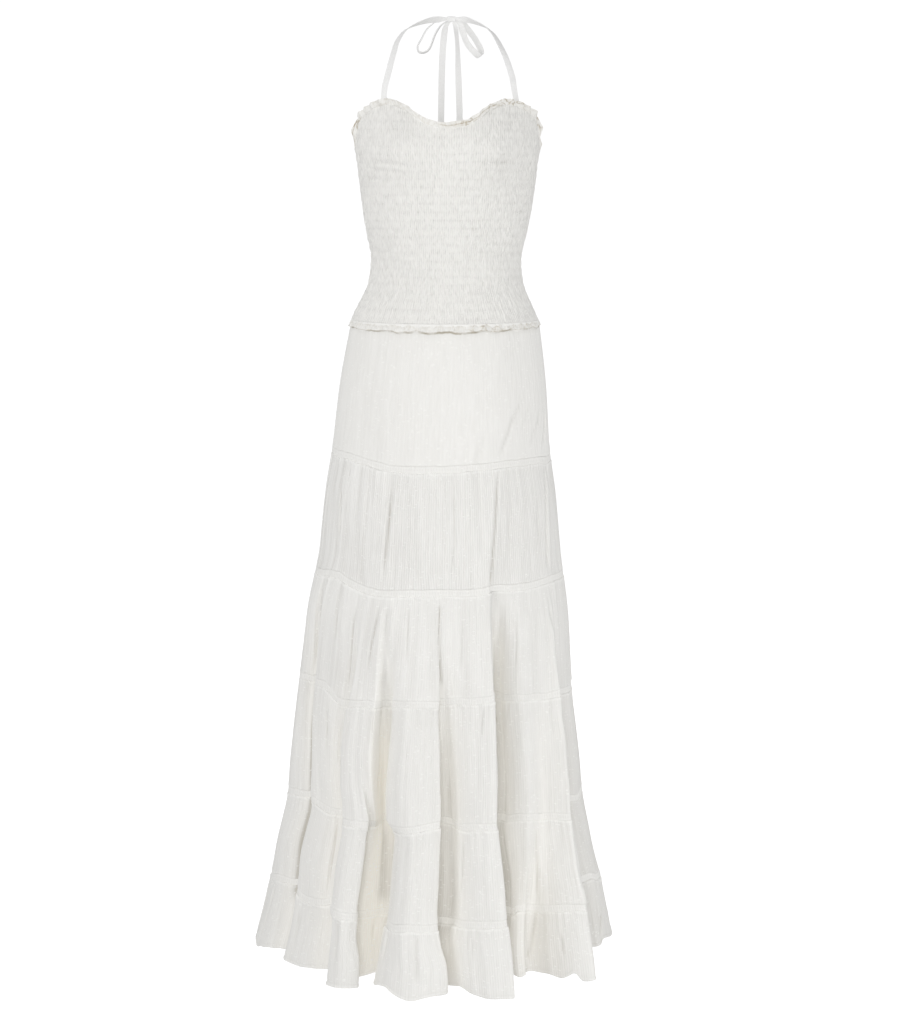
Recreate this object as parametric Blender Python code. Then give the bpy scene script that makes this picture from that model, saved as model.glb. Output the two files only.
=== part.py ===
"""Halter-neck maxi dress: smocked bodice, hip yoke, four gathered tiers and a hem ruffle.

Metres, +Z up.  The front faces -Y, and left and right are those of someone who faces the dress.
The origin is the nape of the neck, where the halter is held.  Every cloth piece is a thin wall whose
sections come from the sizes below; the skirt's deep folds run down from the yoke to the hem.
"""
import math

import bmesh
import bpy

# ---------------------------------------------------------------- driving dimensions
AXIS_Y = -0.060                # the dress's upright axis lies in front of the nape
SEAM_GAP = 0.0003              # parting between pieces that are sewn together
CLOTH = 0.0016                 # wall of the yoke, the tiers and the ruffle
LACE_WALL = 0.0012             # wall of the lace insertion
LACE_HEIGHT = 0.0100           # height of each lace band
LACE_SET_BACK = 0.0002         # the lace lies a little inside the cloth beside it

SMOCK_WALL = 0.0013            # gathered cloth at a row of elastic
SMOCK_PUFF = 0.0017            # how far the cloth puffs out between two rows of elastic
SMOCK_ROWS = 24
BODICE_BOTTOM_Z = -0.4600
BODICE_COLUMNS = {"front": 20, "back": 14}
BODICE_INNER_ROWS = 16

FRILL_WALL = 0.0012
FRILL_HEIGHT = 0.0085          # the frill along the top edge
FRILL_WAVE = 0.0048            # depth of its ruffle waves
FRILL_LEAN = 0.0012            # how far it leans outwards
FRILL_STEPS = 6                # points of the frill to each bodice column, one and a half waves
FRILL_WAVES_PER_COLUMN = 1.5
HIP_FRILL_HEIGHT = 0.0175      # the frill along the bottom edge, which hangs over the yoke
HIP_FRILL_WAVE = 0.0046
HIP_FRILL_LEAN = 0.0016        # room between the yoke and the frill's free edge
HIP_FRILL_OVERLAP = 0.0002     # how far the frill's root reaches under the bodice's outer face
HIP_FRILL_WAVES = 40           # waves all round
HIP_FRILL_STEPS = 4            # points to each wave

CUP_OUT = 0.024                # fullness of each bust cup
CUP_APART = 0.069              # from the centre line to a cup's fullest point
CUP_WIDTH = 0.046
CUP_Z = -0.204
CUP_RISE = 0.058               # fullness fades over this height above the fullest point
CUP_DROP = 0.040               # and over this height below it
CUP_SIDE_FADE = 0.4            # and it is gone at the side seams

UPPER_COLUMNS = 20             # columns round each half of the yoke and the first tier
RIBBON_WIDTH = 0.0095
RIBBON_THICK = 0.0016
RIBBON_STEPS = 2               # ribbon stations from one row of its table to the next
PINCHED = 0.55                 # share of its width that a ribbon keeps where it enters the knot
PINCH_LENGTH = 0.016           # and how soon it has its full width again
STRAP_ROOTS = {"left": -43.5, "right": 48.0}   # degrees round the front panel
STRAP_ROOT_ZS = (-0.1500, -0.1340)
STRAP_SEAT = 0.0011            # room between a strap and the inside of the front panel
TAIL_CLEARANCE = 0.0062        # room between a tail and the back panel with its frill
KNOT_CENTRE = (0.0020, 0.0032, -0.0017)
KNOT_SIZE = (0.0136, 0.0104, 0.0090)
KNOT_ROUNDING = 0.0015

# Sections of the dress, each an oval: height, half width, centre across, depth to front and to back.
SECTIONS = (
    # z, half_width, centre_x, front, back
    (-0.100, 0.1370, -0.0030, 0.082, 0.092),
    (-0.130, 0.1390, -0.0032, 0.091, 0.098),
    (-0.160, 0.1405, -0.0036, 0.101, 0.104),
    (-0.200, 0.1416, -0.0040, 0.109, 0.108),
    (-0.226, 0.1387, -0.0042, 0.108, 0.107),
    (-0.276, 0.1335, -0.0044, 0.099, 0.101),
    (-0.322, 0.1260, -0.0048, 0.091, 0.093),
    (-0.352, 0.1190, -0.0060, 0.087, 0.089),
    (-0.372, 0.1170, -0.0067, 0.086, 0.089),
    (-0.406, 0.1210, -0.0068, 0.092, 0.098),
    (-0.434, 0.1330, -0.0074, 0.103, 0.110),
    (-0.460, 0.1445, -0.0079, 0.114, 0.121),
    (-0.483, 0.1487, -0.0085, 0.120, 0.127),
    (-0.567, 0.1610, -0.0110, 0.137, 0.146),
    (-0.667, 0.1700, -0.0135, 0.150, 0.152),
    (-0.734, 0.1802, -0.0142, 0.157, 0.158),
    (-0.848, 0.1917, -0.0155, 0.166, 0.165),
    (-0.928, 0.2032, -0.0185, 0.173, 0.173),
    (-1.032, 0.2124, -0.0220, 0.181, 0.181),
    (-1.162, 0.2303, -0.0247, 0.200, 0.199),
    (-1.207, 0.2347, -0.0250, 0.207, 0.206),
    (-1.291, 0.2516, -0.0253, 0.225, 0.223),
    (-1.350, 0.2644, -0.0240, 0.240, 0.237),
    (-1.459, 0.2912, -0.0260, 0.265, 0.262),
)

# Top edge of the bodice with its frill, from the centre front round to the centre back.
TOP_EDGE = (
    # degrees, z
    (0, -0.1630),
    (10, -0.1595),
    (20, -0.1475),
    (28, -0.1345),
    (40, -0.1270),
    (50, -0.1305),
    (60, -0.1380),
    (70, -0.1470),
    (78, -0.1590),
    (84, -0.1770),
    (90, -0.1960),
    (100, -0.2040),
    (120, -0.2080),
    (180, -0.2100),
)

# Seams of the skirt, from the yoke's lower edge to the hem: each lace band hangs from one of them.
LACE_TOPS = (-0.6670, -0.8550, -1.0300, -1.2075, -1.3500)
HEM_Z = -1.4590
YOKE_TOP_Z = BODICE_BOTTOM_Z - SEAM_GAP
YOKE_TUCK = SMOCK_PUFF + 0.0005  # the yoke's top edge lies this far inside its section, under the frill

# Deep folds of the skirt.  At the hem a fold joins the panel before it, which ends at a lip (a), to the
# panel after it, which starts at a lip (b); the cloth between them is hidden, sunk inwards and tucked
# sideways.  Lips are measured from the section's centre: across, and out to the front.  The fold begins
# at one height and has its full strength at another, and the panel after it bulges out between its lips.
FOLDS = (
    # name, degrees, begin_z, full_z, a_x, a_out, b_x, b_out, sink, tuck, bulge
    ("left_side", -60, -0.85, -1.05, -0.239, 0.045, -0.236, 0.094, 0.036, 0.006, 0.010),
    ("left_front", -38, -0.90, -1.18, -0.163, 0.142, -0.163, 0.204, 0.032, 0.014, 0.014),
    ("left_recess", -28, -1.10, -1.32, -0.114, 0.220, -0.113, 0.169, 0.004, -0.024, 0.000),
    ("centre_left", -20, -0.92, -1.22, -0.091, 0.152, -0.091, 0.204, 0.030, 0.016, 0.046),
    ("centre", 0, -0.90, -1.20, 0.022, 0.252, 0.024, 0.208, 0.026, -0.022, 0.022),
    ("centre_right", 25, -0.85, -1.02, 0.122, 0.263, 0.122, 0.163, 0.038, -0.018, 0.008),
    ("right_crease", 41, -1.18, -1.44, 0.142, 0.172, 0.155, 0.146, 0.008, 0.000, 0.012),
    ("right_front", 61, -0.86, -1.20, 0.250, 0.187, 0.252, 0.036, 0.046, -0.013, 0.022),
    ("back_1", 112, -0.88, -1.22, 0.281, -0.075, 0.247, -0.118, 0.034, -0.006, 0.010),
    ("back_2", 133, -0.95, -1.28, 0.222, -0.168, 0.196, -0.180, 0.032, 0.004, 0.014),
    ("back_3", 153, -0.84, -1.15, 0.150, -0.234, 0.122, -0.212, 0.036, -0.010, 0.018),
    ("back_4", 176, -0.92, -1.24, 0.034, -0.264, 0.008, -0.230, 0.034, -0.004, 0.020),
    ("back_5", 201, -0.86, -1.18, -0.092, -0.240, -0.118, -0.240, 0.036, 0.006, 0.016),
    ("back_6", 226, -0.94, -1.26, -0.204, -0.188, -0.222, -0.158, 0.034, -0.004, 0.012),
    ("back_7", 252, -0.90, -1.22, -0.274, -0.092, -0.283, -0.050, 0.032, 0.004, 0.025),
)
FOLDS_BEGIN_Z = -0.8600        # the skirt is smooth above this height
LIP_SPREAD = 2.4               # degrees between a lip and the middle of its fold, where it begins
SIDE_ANGLES = (90.0, 270.0)    # the side seams

# Rows of points down the yoke and down each tier, as shares of the way down.
YOKE_ROWS = (0.0, 0.11, 0.5, 1.0)
TIER_ROWS = (0.0, 0.3, 0.65, 1.0)

# Ribbon routes: across, back from the nape, up, and the way that the ribbon's face looks.  The halter
# straps run from the front panel's edge round the neck to the knot.
LEFT_STRAP = (
    # x, y, z, face_x, face_y, face_z
    (-0.0955, -0.1235, -0.1090, -0.5, -1.0, 0.2),
    (-0.0905, -0.1160, -0.0850, -0.4, -1.0, 0.3),
    (-0.0850, -0.1030, -0.0590, -0.5, -0.9, 0.5),
    (-0.0795, -0.0860, -0.0400, -0.6, -0.7, 0.7),
    (-0.0712, -0.0650, -0.0245, -0.7, -0.4, 0.9),
    (-0.0585, -0.0410, -0.0137, -0.6, 0.1, 0.9),
    (-0.0330, -0.0160, -0.0050, -0.4, 0.7, 0.6),
    (-0.0150, -0.0042, -0.0022, -0.1, 1.0, 0.2),
    (-0.0051, -0.0005, -0.0016, 0.0, 1.0, 0.1),
)
RIGHT_STRAP = (
    # x, y, z, face_x, face_y, face_z
    (0.0965, -0.1235, -0.1110, 0.5, -1.0, 0.2),
    (0.0925, -0.1180, -0.0930, 0.4, -1.0, 0.3),
    (0.0850, -0.1060, -0.0640, 0.5, -0.9, 0.5),
    (0.0760, -0.0880, -0.0430, 0.6, -0.7, 0.7),
    (0.0662, -0.0670, -0.0270, 0.7, -0.4, 0.9),
    (0.0535, -0.0430, -0.0152, 0.6, 0.1, 0.9),
    (0.0318, -0.0160, -0.0054, 0.4, 0.7, 0.6),
    (0.0185, -0.0042, -0.0022, 0.1, 1.0, 0.2),
    (0.0091, -0.0005, -0.0016, 0.0, 1.0, 0.1),
)
# The bow's loops leave the knot's side and come back to it.
LEFT_LOOP = (
    # x, y, z, face_x, face_y, face_z
    (-0.0051, 0.0048, -0.0010, 0.0, 0.1, 1.0),
    (-0.0205, 0.0120, -0.0044, 0.4, 0.2, 1.0),
    (-0.0351, 0.0180, -0.0154, 0.9, 0.2, 0.8),
    (-0.0431, 0.0200, -0.0285, 1.0, 0.1, 0.5),
    (-0.0500, 0.0200, -0.0420, 1.0, 0.0, 0.4),
    (-0.0478, 0.0200, -0.0508, 0.5, 0.0, -1.0),
    (-0.0385, 0.0200, -0.0508, -0.5, 0.0, -1.0),
    (-0.0310, 0.0190, -0.0440, -1.0, 0.0, -0.7),
    (-0.0236, 0.0160, -0.0250, -1.0, 0.1, -0.4),
    (-0.0145, 0.0100, -0.0110, -0.9, 0.1, -0.9),
    (-0.0051, 0.0052, -0.0050, 0.0, 0.1, -1.0),
)
RIGHT_LOOP = (
    # x, y, z, face_x, face_y, face_z
    (0.0091, 0.0066, -0.0014, 0.0, 1.0, 0.0),
    (0.0215, 0.0145, -0.0095, 0.2, 1.0, 0.2),
    (0.0335, 0.0205, -0.0230, 0.3, 1.0, 0.3),
    (0.0430, 0.0225, -0.0370, 0.3, 1.0, 0.2),
    (0.0488, 0.0215, -0.0500, 0.4, 0.8, 0.0),
    (0.0460, 0.0160, -0.0575, 0.5, -0.2, -0.9),
    (0.0375, 0.0110, -0.0510, 0.0, -1.0, -0.3),
    (0.0270, 0.0085, -0.0385, -0.3, -1.0, -0.2),
    (0.0205, 0.0064, -0.0230, -0.3, -1.0, -0.1),
    (0.0160, 0.0046, -0.0095, -0.2, -1.0, 0.0),
    (0.0091, 0.0034, -0.0030, 0.0, -1.0, 0.0),
)
# The two tails leave the knot's underside and hang outside the back panel, the last rows against it.
LEFT_TAIL = (
    # x, y, z, face_x, face_y, face_z
    (-0.0020, 0.0032, -0.0065, 0.0, -1.0, 0.0),
    (-0.0076, 0.0060, -0.0170, 0.0, -1.0, 0.3),
    (-0.0112, 0.0180, -0.0475, 0.0, -1.0, 0.3),
    (-0.0128, 0.0310, -0.0850, 0.0, -1.0, 0.25),
    (-0.0138, 0.0430, -0.1300, 0.0, -1.0, 0.2),
    (-0.0145, 0.0520, -0.1750, 0.0, -1.0, 0.1),
    (-0.0150, None, -0.2150, 0.0, -1.0, 0.0),
    (-0.0158, None, -0.2550, 0.0, -1.0, 0.0),
    (-0.0165, None, -0.3000, 0.0, -1.0, 0.0),
)
RIGHT_TAIL = (
    # x, y, z, face_x, face_y, face_z
    (0.0060, 0.0032, -0.0065, 0.0, -1.0, 0.0),
    (0.0092, 0.0060, -0.0170, -0.6, -0.8, 0.2),
    (0.0118, 0.0180, -0.0450, -0.8, -0.8, 0.2),
    (0.0130, 0.0310, -0.0850, -0.4, -1.0, 0.2),
    (0.0146, 0.0430, -0.1300, 0.0, -1.0, 0.2),
    (0.0155, 0.0520, -0.1750, 0.0, -1.0, 0.1),
    (0.0162, None, -0.2150, 0.0, -1.0, 0.0),
    (0.0170, None, -0.2550, 0.0, -1.0, 0.0),
    (0.0178, None, -0.2900, 0.0, -1.0, 0.0),
)


# ---------------------------------------------------------------- curves and sections
def hermite(rows, position, column):
    """Smooth value of a table's column at a position of its first column, which falls or rises."""
    keys = [row[0] for row in rows]
    falling = keys[-1] < keys[0]
    if falling:
        keys = [-key for key in keys]
        position = -position
    position = min(max(position, keys[0]), keys[-1])
    index = 0
    while index < len(keys) - 2 and position > keys[index + 1]:
        index += 1
    span = keys[index + 1] - keys[index]
    share = (position - keys[index]) / span
    start = rows[index][column]
    end = rows[index + 1][column]
    chord = (end - start) / span
    slopes = []
    for near, far in ((index - 1, index), (index + 1, index + 2)):
        if near < 0 or far > len(keys) - 1:
            slopes.append(chord)
            continue
        other = (rows[far][column] - rows[near][column]) / (keys[far] - keys[near])
        slopes.append(0.0 if other * chord <= 0.0 else 2.0 * other * chord / (other + chord))
    square = share * share
    cube = square * share
    return ((2 * cube - 3 * square + 1) * start + (cube - 2 * square + share) * span * slopes[0]
            + (3 * square - 2 * cube) * end + (cube - square) * span * slopes[1])


def section(height):
    """Half width, centre across, front depth and back depth of the dress at a height."""
    return tuple(hermite(SECTIONS, height, column) for column in (1, 2, 3, 4))


def oval_point(angle, height):
    """Point of the plain oval section at an angle, in degrees from the centre front towards +X."""
    half_width, centre_x, front, back = section(height)
    turn = math.radians(angle)
    out = math.cos(turn)
    depth = front if out > 0.0 else back
    return centre_x + half_width * math.sin(turn), AXIS_Y - depth * out


def ease(share):
    """Smooth step from 0 to 1."""
    share = min(max(share, 0.0), 1.0)
    return share * share * (3.0 - 2.0 * share)


def bodice_point(angle, height):
    """Point of the bodice's wall, with the fullness of the two bust cups."""
    across, along = oval_point(angle, height)
    centre_x = section(height)[1]
    front_share = ease(math.cos(math.radians(angle)) / CUP_SIDE_FADE)
    fade = CUP_RISE if height > CUP_Z else CUP_DROP
    up = math.exp(-((height - CUP_Z) / fade) ** 2)
    for side in (-1.0, 1.0):
        offset = (across - centre_x - side * CUP_APART) / CUP_WIDTH
        along -= CUP_OUT * front_share * up * math.exp(-offset * offset)
    return across, along


def ring_normals(points):
    """Outward unit normals of a closed ring of points in plan, that turns from front to +X to back."""
    normals = []
    count = len(points)
    for index, (across, along) in enumerate(points):
        before = points[index - 1]
        after = points[(index + 1) % count]
        edges = []
        for start, end in ((before, (across, along)), ((across, along), after)):
            length = math.hypot(end[0] - start[0], end[1] - start[1])
            edges.append(((end[1] - start[1]) / length, -(end[0] - start[0]) / length))
        bisector = (edges[0][0] + edges[1][0], edges[0][1] + edges[1][1])
        length = max(math.hypot(*bisector), 0.8)
        mitre = 2.0 / (length * length)
        normals.append((bisector[0] * mitre, bisector[1] * mitre))
    return normals


def moved(points, normals, distance):
    """The points of a ring moved outwards by a distance."""
    return [(point[0] + normal[0] * distance, point[1] + normal[1] * distance)
            for point, normal in zip(points, normals)]


# ---------------------------------------------------------------- the folded skirt
def fold_strength(fold, height):
    """Strength of a fold at a height, from 0 where it begins to 1 where it is full."""
    begin, full = fold[2], fold[3]
    return ease((begin - height) / (begin - full))


def panel_columns(index):
    """Columns of the panel after a fold: its ring angles, with their share of the way across it."""
    fold = FOLDS[index]
    after = FOLDS[(index + 1) % len(FOLDS)]
    start = fold[1] + LIP_SPREAD
    end = after[1] - LIP_SPREAD
    if end < start:
        end += 360.0
    sides = [(side - start) / (end - start) for side in SIDE_ANGLES if start < side < end]
    if not sides:
        return [(start + share * (end - start), share) for share in (0.33, 0.67)]
    middle = sides[0]
    shares = (middle * 0.5, middle, 0.5 + middle * 0.5)
    return [(start + share * (end - start), share) for share in shares]


def skirt_columns():
    """Columns of the folded skirt, each a ring angle, its place at the hem and the folds it follows."""
    columns = []
    for index, fold in enumerate(FOLDS):
        after_index = (index + 1) % len(FOLDS)
        after = FOLDS[after_index]
        turn = math.radians(fold[1])
        lip_a, lip_b = (fold[4], fold[5]), (fold[6], fold[7])
        sink, tuck, bulge = fold[8:11]
        bottom = ((lip_a[0] + lip_b[0]) / 2 + tuck * math.cos(turn) - sink * math.sin(turn),
                  (lip_a[1] + lip_b[1]) / 2 - tuck * math.sin(turn) - sink * math.cos(turn))
        own = ((index, 1.0),)
        columns.append((fold[1] - LIP_SPREAD, lip_a, own))
        columns.append((fold[1], bottom, own))
        columns.append((fold[1] + LIP_SPREAD, lip_b, own))
        chord = (after[4] - lip_b[0], after[5] - lip_b[1])
        length = math.hypot(*chord)
        for angle, share in panel_columns(index):
            swell = 4.0 * share * (1.0 - share) * bulge / length
            place = (lip_b[0] + share * chord[0] - swell * chord[1],
                     lip_b[1] + share * chord[1] + swell * chord[0])
            columns.append((angle, place, ((index, 1.0 - share), (after_index, share))))
    return columns


def skirt_ring(columns, height):
    """Plan points of the folded skirt at a height."""
    half_width, centre_x, front, back = section(height)
    hem_half_width, _, hem_front, hem_back = section(HEM_Z)
    points = []
    for angle, place, followed in columns:
        strength = sum(share * fold_strength(FOLDS[index], height) for index, share in followed)
        plain = oval_point(angle, height)
        depth = front / hem_front if place[1] > 0.0 else back / hem_back
        folded = (centre_x + place[0] * half_width / hem_half_width, AXIS_Y - place[1] * depth)
        points.append((plain[0] + strength * (folded[0] - plain[0]),
                       plain[1] + strength * (folded[1] - plain[1])))
    return points


def split_columns(angles):
    """Runs of column numbers of the front and of the back, each from one side seam to the other."""
    right = angles.index(SIDE_ANGLES[0])
    left = angles.index(SIDE_ANGLES[1])
    count = len(angles)
    back = list(range(right, left + 1)) if left > right else [n % count for n in range(right, left + count + 1)]
    front = [n % count for n in range(left, right + (count if right < left else 0) + 1)]
    return {"front": front, "back": back}


# ---------------------------------------------------------------- meshes
def new_material(name, colour, roughness):
    """A plain Principled material of a colour and roughness."""
    material = bpy.data.materials.new(name)
    material.use_nodes = True
    shader = material.node_tree.nodes["Principled BSDF"]
    shader.inputs["Base Color"].default_value = (*colour, 1.0)
    shader.inputs["Roughness"].default_value = roughness
    shader.inputs["Metallic"].default_value = 0.0
    return material


def add_object(name, mesh_data, colour, roughness):
    """Put a finished mesh into the scene as a named object with its own material."""
    mesh = bpy.data.meshes.new(name)
    mesh_data.to_mesh(mesh)
    mesh_data.free()
    mesh.materials.append(new_material(name, colour, roughness))
    mesh.shade_smooth()
    mesh.set_sharp_from_angle(angle=math.radians(50.0))
    obj = bpy.data.objects.new(name, mesh)
    bpy.context.collection.objects.link(obj)
    return obj


def add_wall(name, outer, inner, colour, roughness, closed=False):
    """A cloth wall between an outer and an inner grid of points, closed round or open at two side seams.

    Both grids have the same columns.  The outer grid's rows are a whole number of times the inner
    grid's, so that relief stands on a plain inside.
    """
    data = bmesh.new()
    outer_rows = [[data.verts.new(point) for point in row] for row in outer]
    inner_rows = [[data.verts.new(point) for point in row] for row in inner]
    count = len(outer[0])
    pairs = [(column, (column + 1) % count) for column in range(count if closed else count - 1)]
    for rows in (outer_rows, inner_rows):
        for upper, lower in zip(rows, rows[1:]):
            for near, far in pairs:
                data.faces.new((upper[near], upper[far], lower[far]))
                data.faces.new((upper[near], lower[far], lower[near]))
    for row in (0, -1):
        for near, far in pairs:
            data.faces.new((outer_rows[row][near], outer_rows[row][far],
                            inner_rows[row][far], inner_rows[row][near]))
    step = (len(outer_rows) - 1) // (len(inner_rows) - 1)
    for column in () if closed else (0, -1):
        for row in range(len(inner_rows) - 1):
            edge = [outer_rows[row * step + number][column] for number in range(step + 1)]
            data.faces.new(edge + [inner_rows[row + 1][column], inner_rows[row][column]])
    bmesh.ops.recalc_face_normals(data, faces=data.faces)
    return add_object(name, data, colour, roughness)


def half_rows(ring_rows, run, half):
    """The points of one half of a stack of rings, kept clear of the other half at the side seams."""
    shift = (-0.5 if half == "front" else 0.5) * SEAM_GAP
    rows = []
    for ring, height in ring_rows:
        row = [(ring[column][0], ring[column][1], height) for column in run]
        for end in (0, -1):
            across, along, level = row[end]
            row[end] = (across, along + shift, level)
        rows.append(row)
    return rows


def skirt_walls(columns, rows, wall):
    """Outer and inner rings of a skirt piece, from rows of a height and how far the cloth is set back."""
    outer = []
    inner = []
    for height, set_back in rows:
        ring = skirt_ring(columns, height)
        normals = ring_normals(ring)
        outer.append((moved(ring, normals, -set_back), height))
        inner.append((moved(ring, normals, -set_back - wall), height))
    return outer, inner


def add_skirt_piece(name, columns, rows):
    """Front and back width of the yoke or of a tier."""
    outer, inner = skirt_walls(columns, rows, CLOTH)
    for half, run in split_columns([column[0] % 360.0 for column in columns]).items():
        add_wall(f"{name}_{half}", half_rows(outer, run, half), half_rows(inner, run, half),
                 (0.80, 0.79, 0.75), 0.90)


def add_lace(name, columns, top):
    """A band of lace insertion, all round."""
    rows = rows_between(top, top - LACE_HEIGHT, (0.0, 1.0), LACE_SET_BACK)
    outer, inner = ([[(*point, height) for point in ring] for ring, height in rings]
                    for rings in skirt_walls(columns, rows, LACE_WALL))
    add_wall(name, outer, inner, (0.78, 0.77, 0.73), 0.95, closed=True)


# ---------------------------------------------------------------- the bodice
def half_angles(half, count):
    """Column angles of one half of the bodice, from side seam to side seam."""
    start = -90.0 if half == "front" else 90.0
    return [start + 180.0 * number / count for number in range(count + 1)]


def edge_height(angle):
    """Height of the bodice's top edge, frill and all, at an angle."""
    turn = abs((angle + 180.0) % 360.0 - 180.0)
    return hermite(TOP_EDGE, turn, 1)


def bodice_top(angle):
    """Height of the bodice's wall at an angle, below its frill."""
    return edge_height(angle) - FRILL_HEIGHT - SEAM_GAP


def bodice_place(angle, height, outwards):
    """Plan point of the bodice's section at an angle and height, moved outwards."""
    across, along = bodice_point(angle, height)
    ahead = bodice_point(angle + 1.0, height)
    behind = bodice_point(angle - 1.0, height)
    slope = (ahead[0] - behind[0], ahead[1] - behind[1])
    length = math.hypot(*slope)
    return across + outwards * slope[1] / length, along - outwards * slope[0] / length


def bodice_row(angles, share, outwards, seam):
    """Points of the bodice at a share of the way from its top edge to its bottom, moved outwards.

    seam is how far the row's two end points are moved along Y, away from the other half.
    """
    row = []
    for number, angle in enumerate(angles):
        top = bodice_top(angle)
        height = top + share * (BODICE_BOTTOM_Z - top)
        across, along = bodice_place(angle, height, outwards)
        shift = seam if number in (0, len(angles) - 1) else 0.0
        row.append((across, along + shift, height))
    return row


def add_bodice(half):
    """One smocked bodice panel: puffs between the rows of elastic, over a plain inside."""
    angles = half_angles(half, BODICE_COLUMNS[half])
    seam = (-0.5 if half == "front" else 0.5) * SEAM_GAP
    outer_count = 2 * SMOCK_ROWS
    outer = []
    for number in range(outer_count + 1):
        puff = SMOCK_PUFF if number % 2 else 0.0
        outer.append(bodice_row(angles, number / outer_count, puff - SMOCK_PUFF, seam))
    inner = [bodice_row(angles, number / BODICE_INNER_ROWS, -SMOCK_PUFF - SMOCK_WALL, seam)
             for number in range(BODICE_INNER_ROWS + 1)]
    add_wall(f"bodice_{half}", outer, inner, (0.80, 0.79, 0.75), 0.90)


def wave_share(number, points_per_wave):
    """How far out a ruffle's wave stands, 0 to 1, at one of its points."""
    return 0.5 - 0.5 * math.cos(2.0 * math.pi * number / points_per_wave)


def between(start, end, share):
    """Point at a share of the way from one point to another."""
    return tuple(a + share * (b - a) for a, b in zip(start, end))


def add_frill(name, roots, edges):
    """A ruffled edge between its sewn root and its free edge, each a ring of points with outward ways."""
    outer = []
    inner = []
    for row in (roots, edges):
        outer.append([point for point, _ in row])
        inner.append([(point[0] - FRILL_WALL * out[0], point[1] - FRILL_WALL * out[1], point[2])
                      for point, out in row])
    add_wall(name, outer, inner, (0.82, 0.81, 0.77), 0.90, closed=True)


def add_top_frill():
    """The frill that stands along the bodice's top edge."""
    angles = half_angles("front", BODICE_COLUMNS["front"])[:-1] + half_angles("back", BODICE_COLUMNS["back"])
    rim = bodice_row(angles, 0.0, -SMOCK_PUFF, 0.0)
    inside = bodice_row(angles, 0.0, -SMOCK_PUFF - FRILL_WALL, 0.0)
    roots = []
    edges = []
    for number in range((len(angles) - 1) * FRILL_STEPS):
        cell, step = divmod(number, FRILL_STEPS)
        point = between(rim[cell], rim[cell + 1], step / FRILL_STEPS)
        within = between(inside[cell], inside[cell + 1], step / FRILL_STEPS)
        out = ((point[0] - within[0]) / FRILL_WALL, (point[1] - within[1]) / FRILL_WALL)
        push = FRILL_LEAN + FRILL_WAVE * wave_share(number, FRILL_STEPS / FRILL_WAVES_PER_COLUMN)
        roots.append(((point[0], point[1], point[2] + SEAM_GAP), out))
        edges.append(((point[0] + push * out[0], point[1] + push * out[1],
                       point[2] + SEAM_GAP + FRILL_HEIGHT), out))
    add_frill("top_frill", roots, edges)


def add_hip_frill():
    """The frill that hangs from the bodice's bottom edge over the top of the yoke."""
    count = HIP_FRILL_WAVES * HIP_FRILL_STEPS
    free_z = YOKE_TOP_Z - HIP_FRILL_HEIGHT
    root_out = FRILL_WALL - SMOCK_PUFF - HIP_FRILL_OVERLAP
    roots = []
    edges = []
    for number in range(count):
        angle = -90.0 + 360.0 * number / count
        push = HIP_FRILL_LEAN + FRILL_WALL + HIP_FRILL_WAVE * wave_share(number, HIP_FRILL_STEPS)
        root = bodice_place(angle, YOKE_TOP_Z, root_out)
        within = bodice_place(angle, YOKE_TOP_Z, root_out - FRILL_WALL)
        edge = bodice_place(angle, free_z, push)
        out = ((root[0] - within[0]) / FRILL_WALL, (root[1] - within[1]) / FRILL_WALL)
        roots.append(((*root, YOKE_TOP_Z), out))
        edges.append(((*edge, free_z), out))
    add_frill("hip_frill", roots, edges)


# ---------------------------------------------------------------- the ties
def spline(rows, steps):
    """Points of a smooth curve through a table's rows, with their remaining columns eased alike."""
    stations = []
    for index in range(len(rows) - 1):
        before = rows[max(index - 1, 0)]
        start, end = rows[index], rows[index + 1]
        after = rows[min(index + 2, len(rows) - 1)]
        for number in range(steps):
            share = number / steps
            stations.append(tuple(
                0.5 * (2 * b + (c - a) * share + (2 * a - 5 * b + 4 * c - d) * share ** 2
                       + (3 * b - a - 3 * c + d) * share ** 3)
                for a, b, c, d in zip(before, start, end, after)))
    stations.append(tuple(rows[-1]))
    return stations


def cross(first, second):
    """Unit vector square to two vectors."""
    product = (first[1] * second[2] - first[2] * second[1], first[2] * second[0] - first[0] * second[2],
               first[0] * second[1] - first[1] * second[0])
    length = math.sqrt(sum(value * value for value in product))
    return tuple(value / length for value in product)


def add_ribbon(name, rows, start_way=None, end_way=None):
    """A flat tie along a table of route points and faces, pinched at each end that enters the knot.

    start_way and end_way are the way that the tie runs where it enters the knot, square to the face of
    the knot that it enters.
    """
    stations = spline(rows, RIBBON_STEPS)
    last = len(stations) - 1
    data = bmesh.new()
    rings = []
    for index, station in enumerate(stations):
        centre = station[:3]
        ahead = stations[min(index + 1, last)][:3]
        behind = stations[max(index - 1, 0)][:3]
        along = tuple(a - b for a, b in zip(ahead, behind))
        width = RIBBON_WIDTH
        for end, way in ((0, start_way), (last, end_way)):
            if way is None:
                continue
            if index == end:
                along = way
            opened = min(math.dist(centre, stations[end][:3]) / PINCH_LENGTH, 1.0)
            width = min(width, RIBBON_WIDTH * (PINCHED + (1.0 - PINCHED) * opened))
        side = cross(along, station[3:])
        face = cross(side, along)
        ring = []
        for across, out in ((-0.5, -0.5), (0.5, -0.5), (0.5, 0.5), (-0.5, 0.5)):
            ring.append(data.verts.new(tuple(
                c + across * width * s + out * RIBBON_THICK * f for c, s, f in zip(centre, side, face))))
        rings.append(ring)
    for near, far in zip(rings, rings[1:]):
        for corner in range(4):
            following = (corner + 1) % 4
            data.faces.new((near[corner], near[following], far[following], far[corner]))
    data.faces.new(rings[0])
    data.faces.new(rings[-1])
    bmesh.ops.recalc_face_normals(data, faces=data.faces)
    bmesh.ops.triangulate(data, faces=data.faces)
    return add_object(name, data, (0.86, 0.85, 0.83), 0.85)


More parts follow.
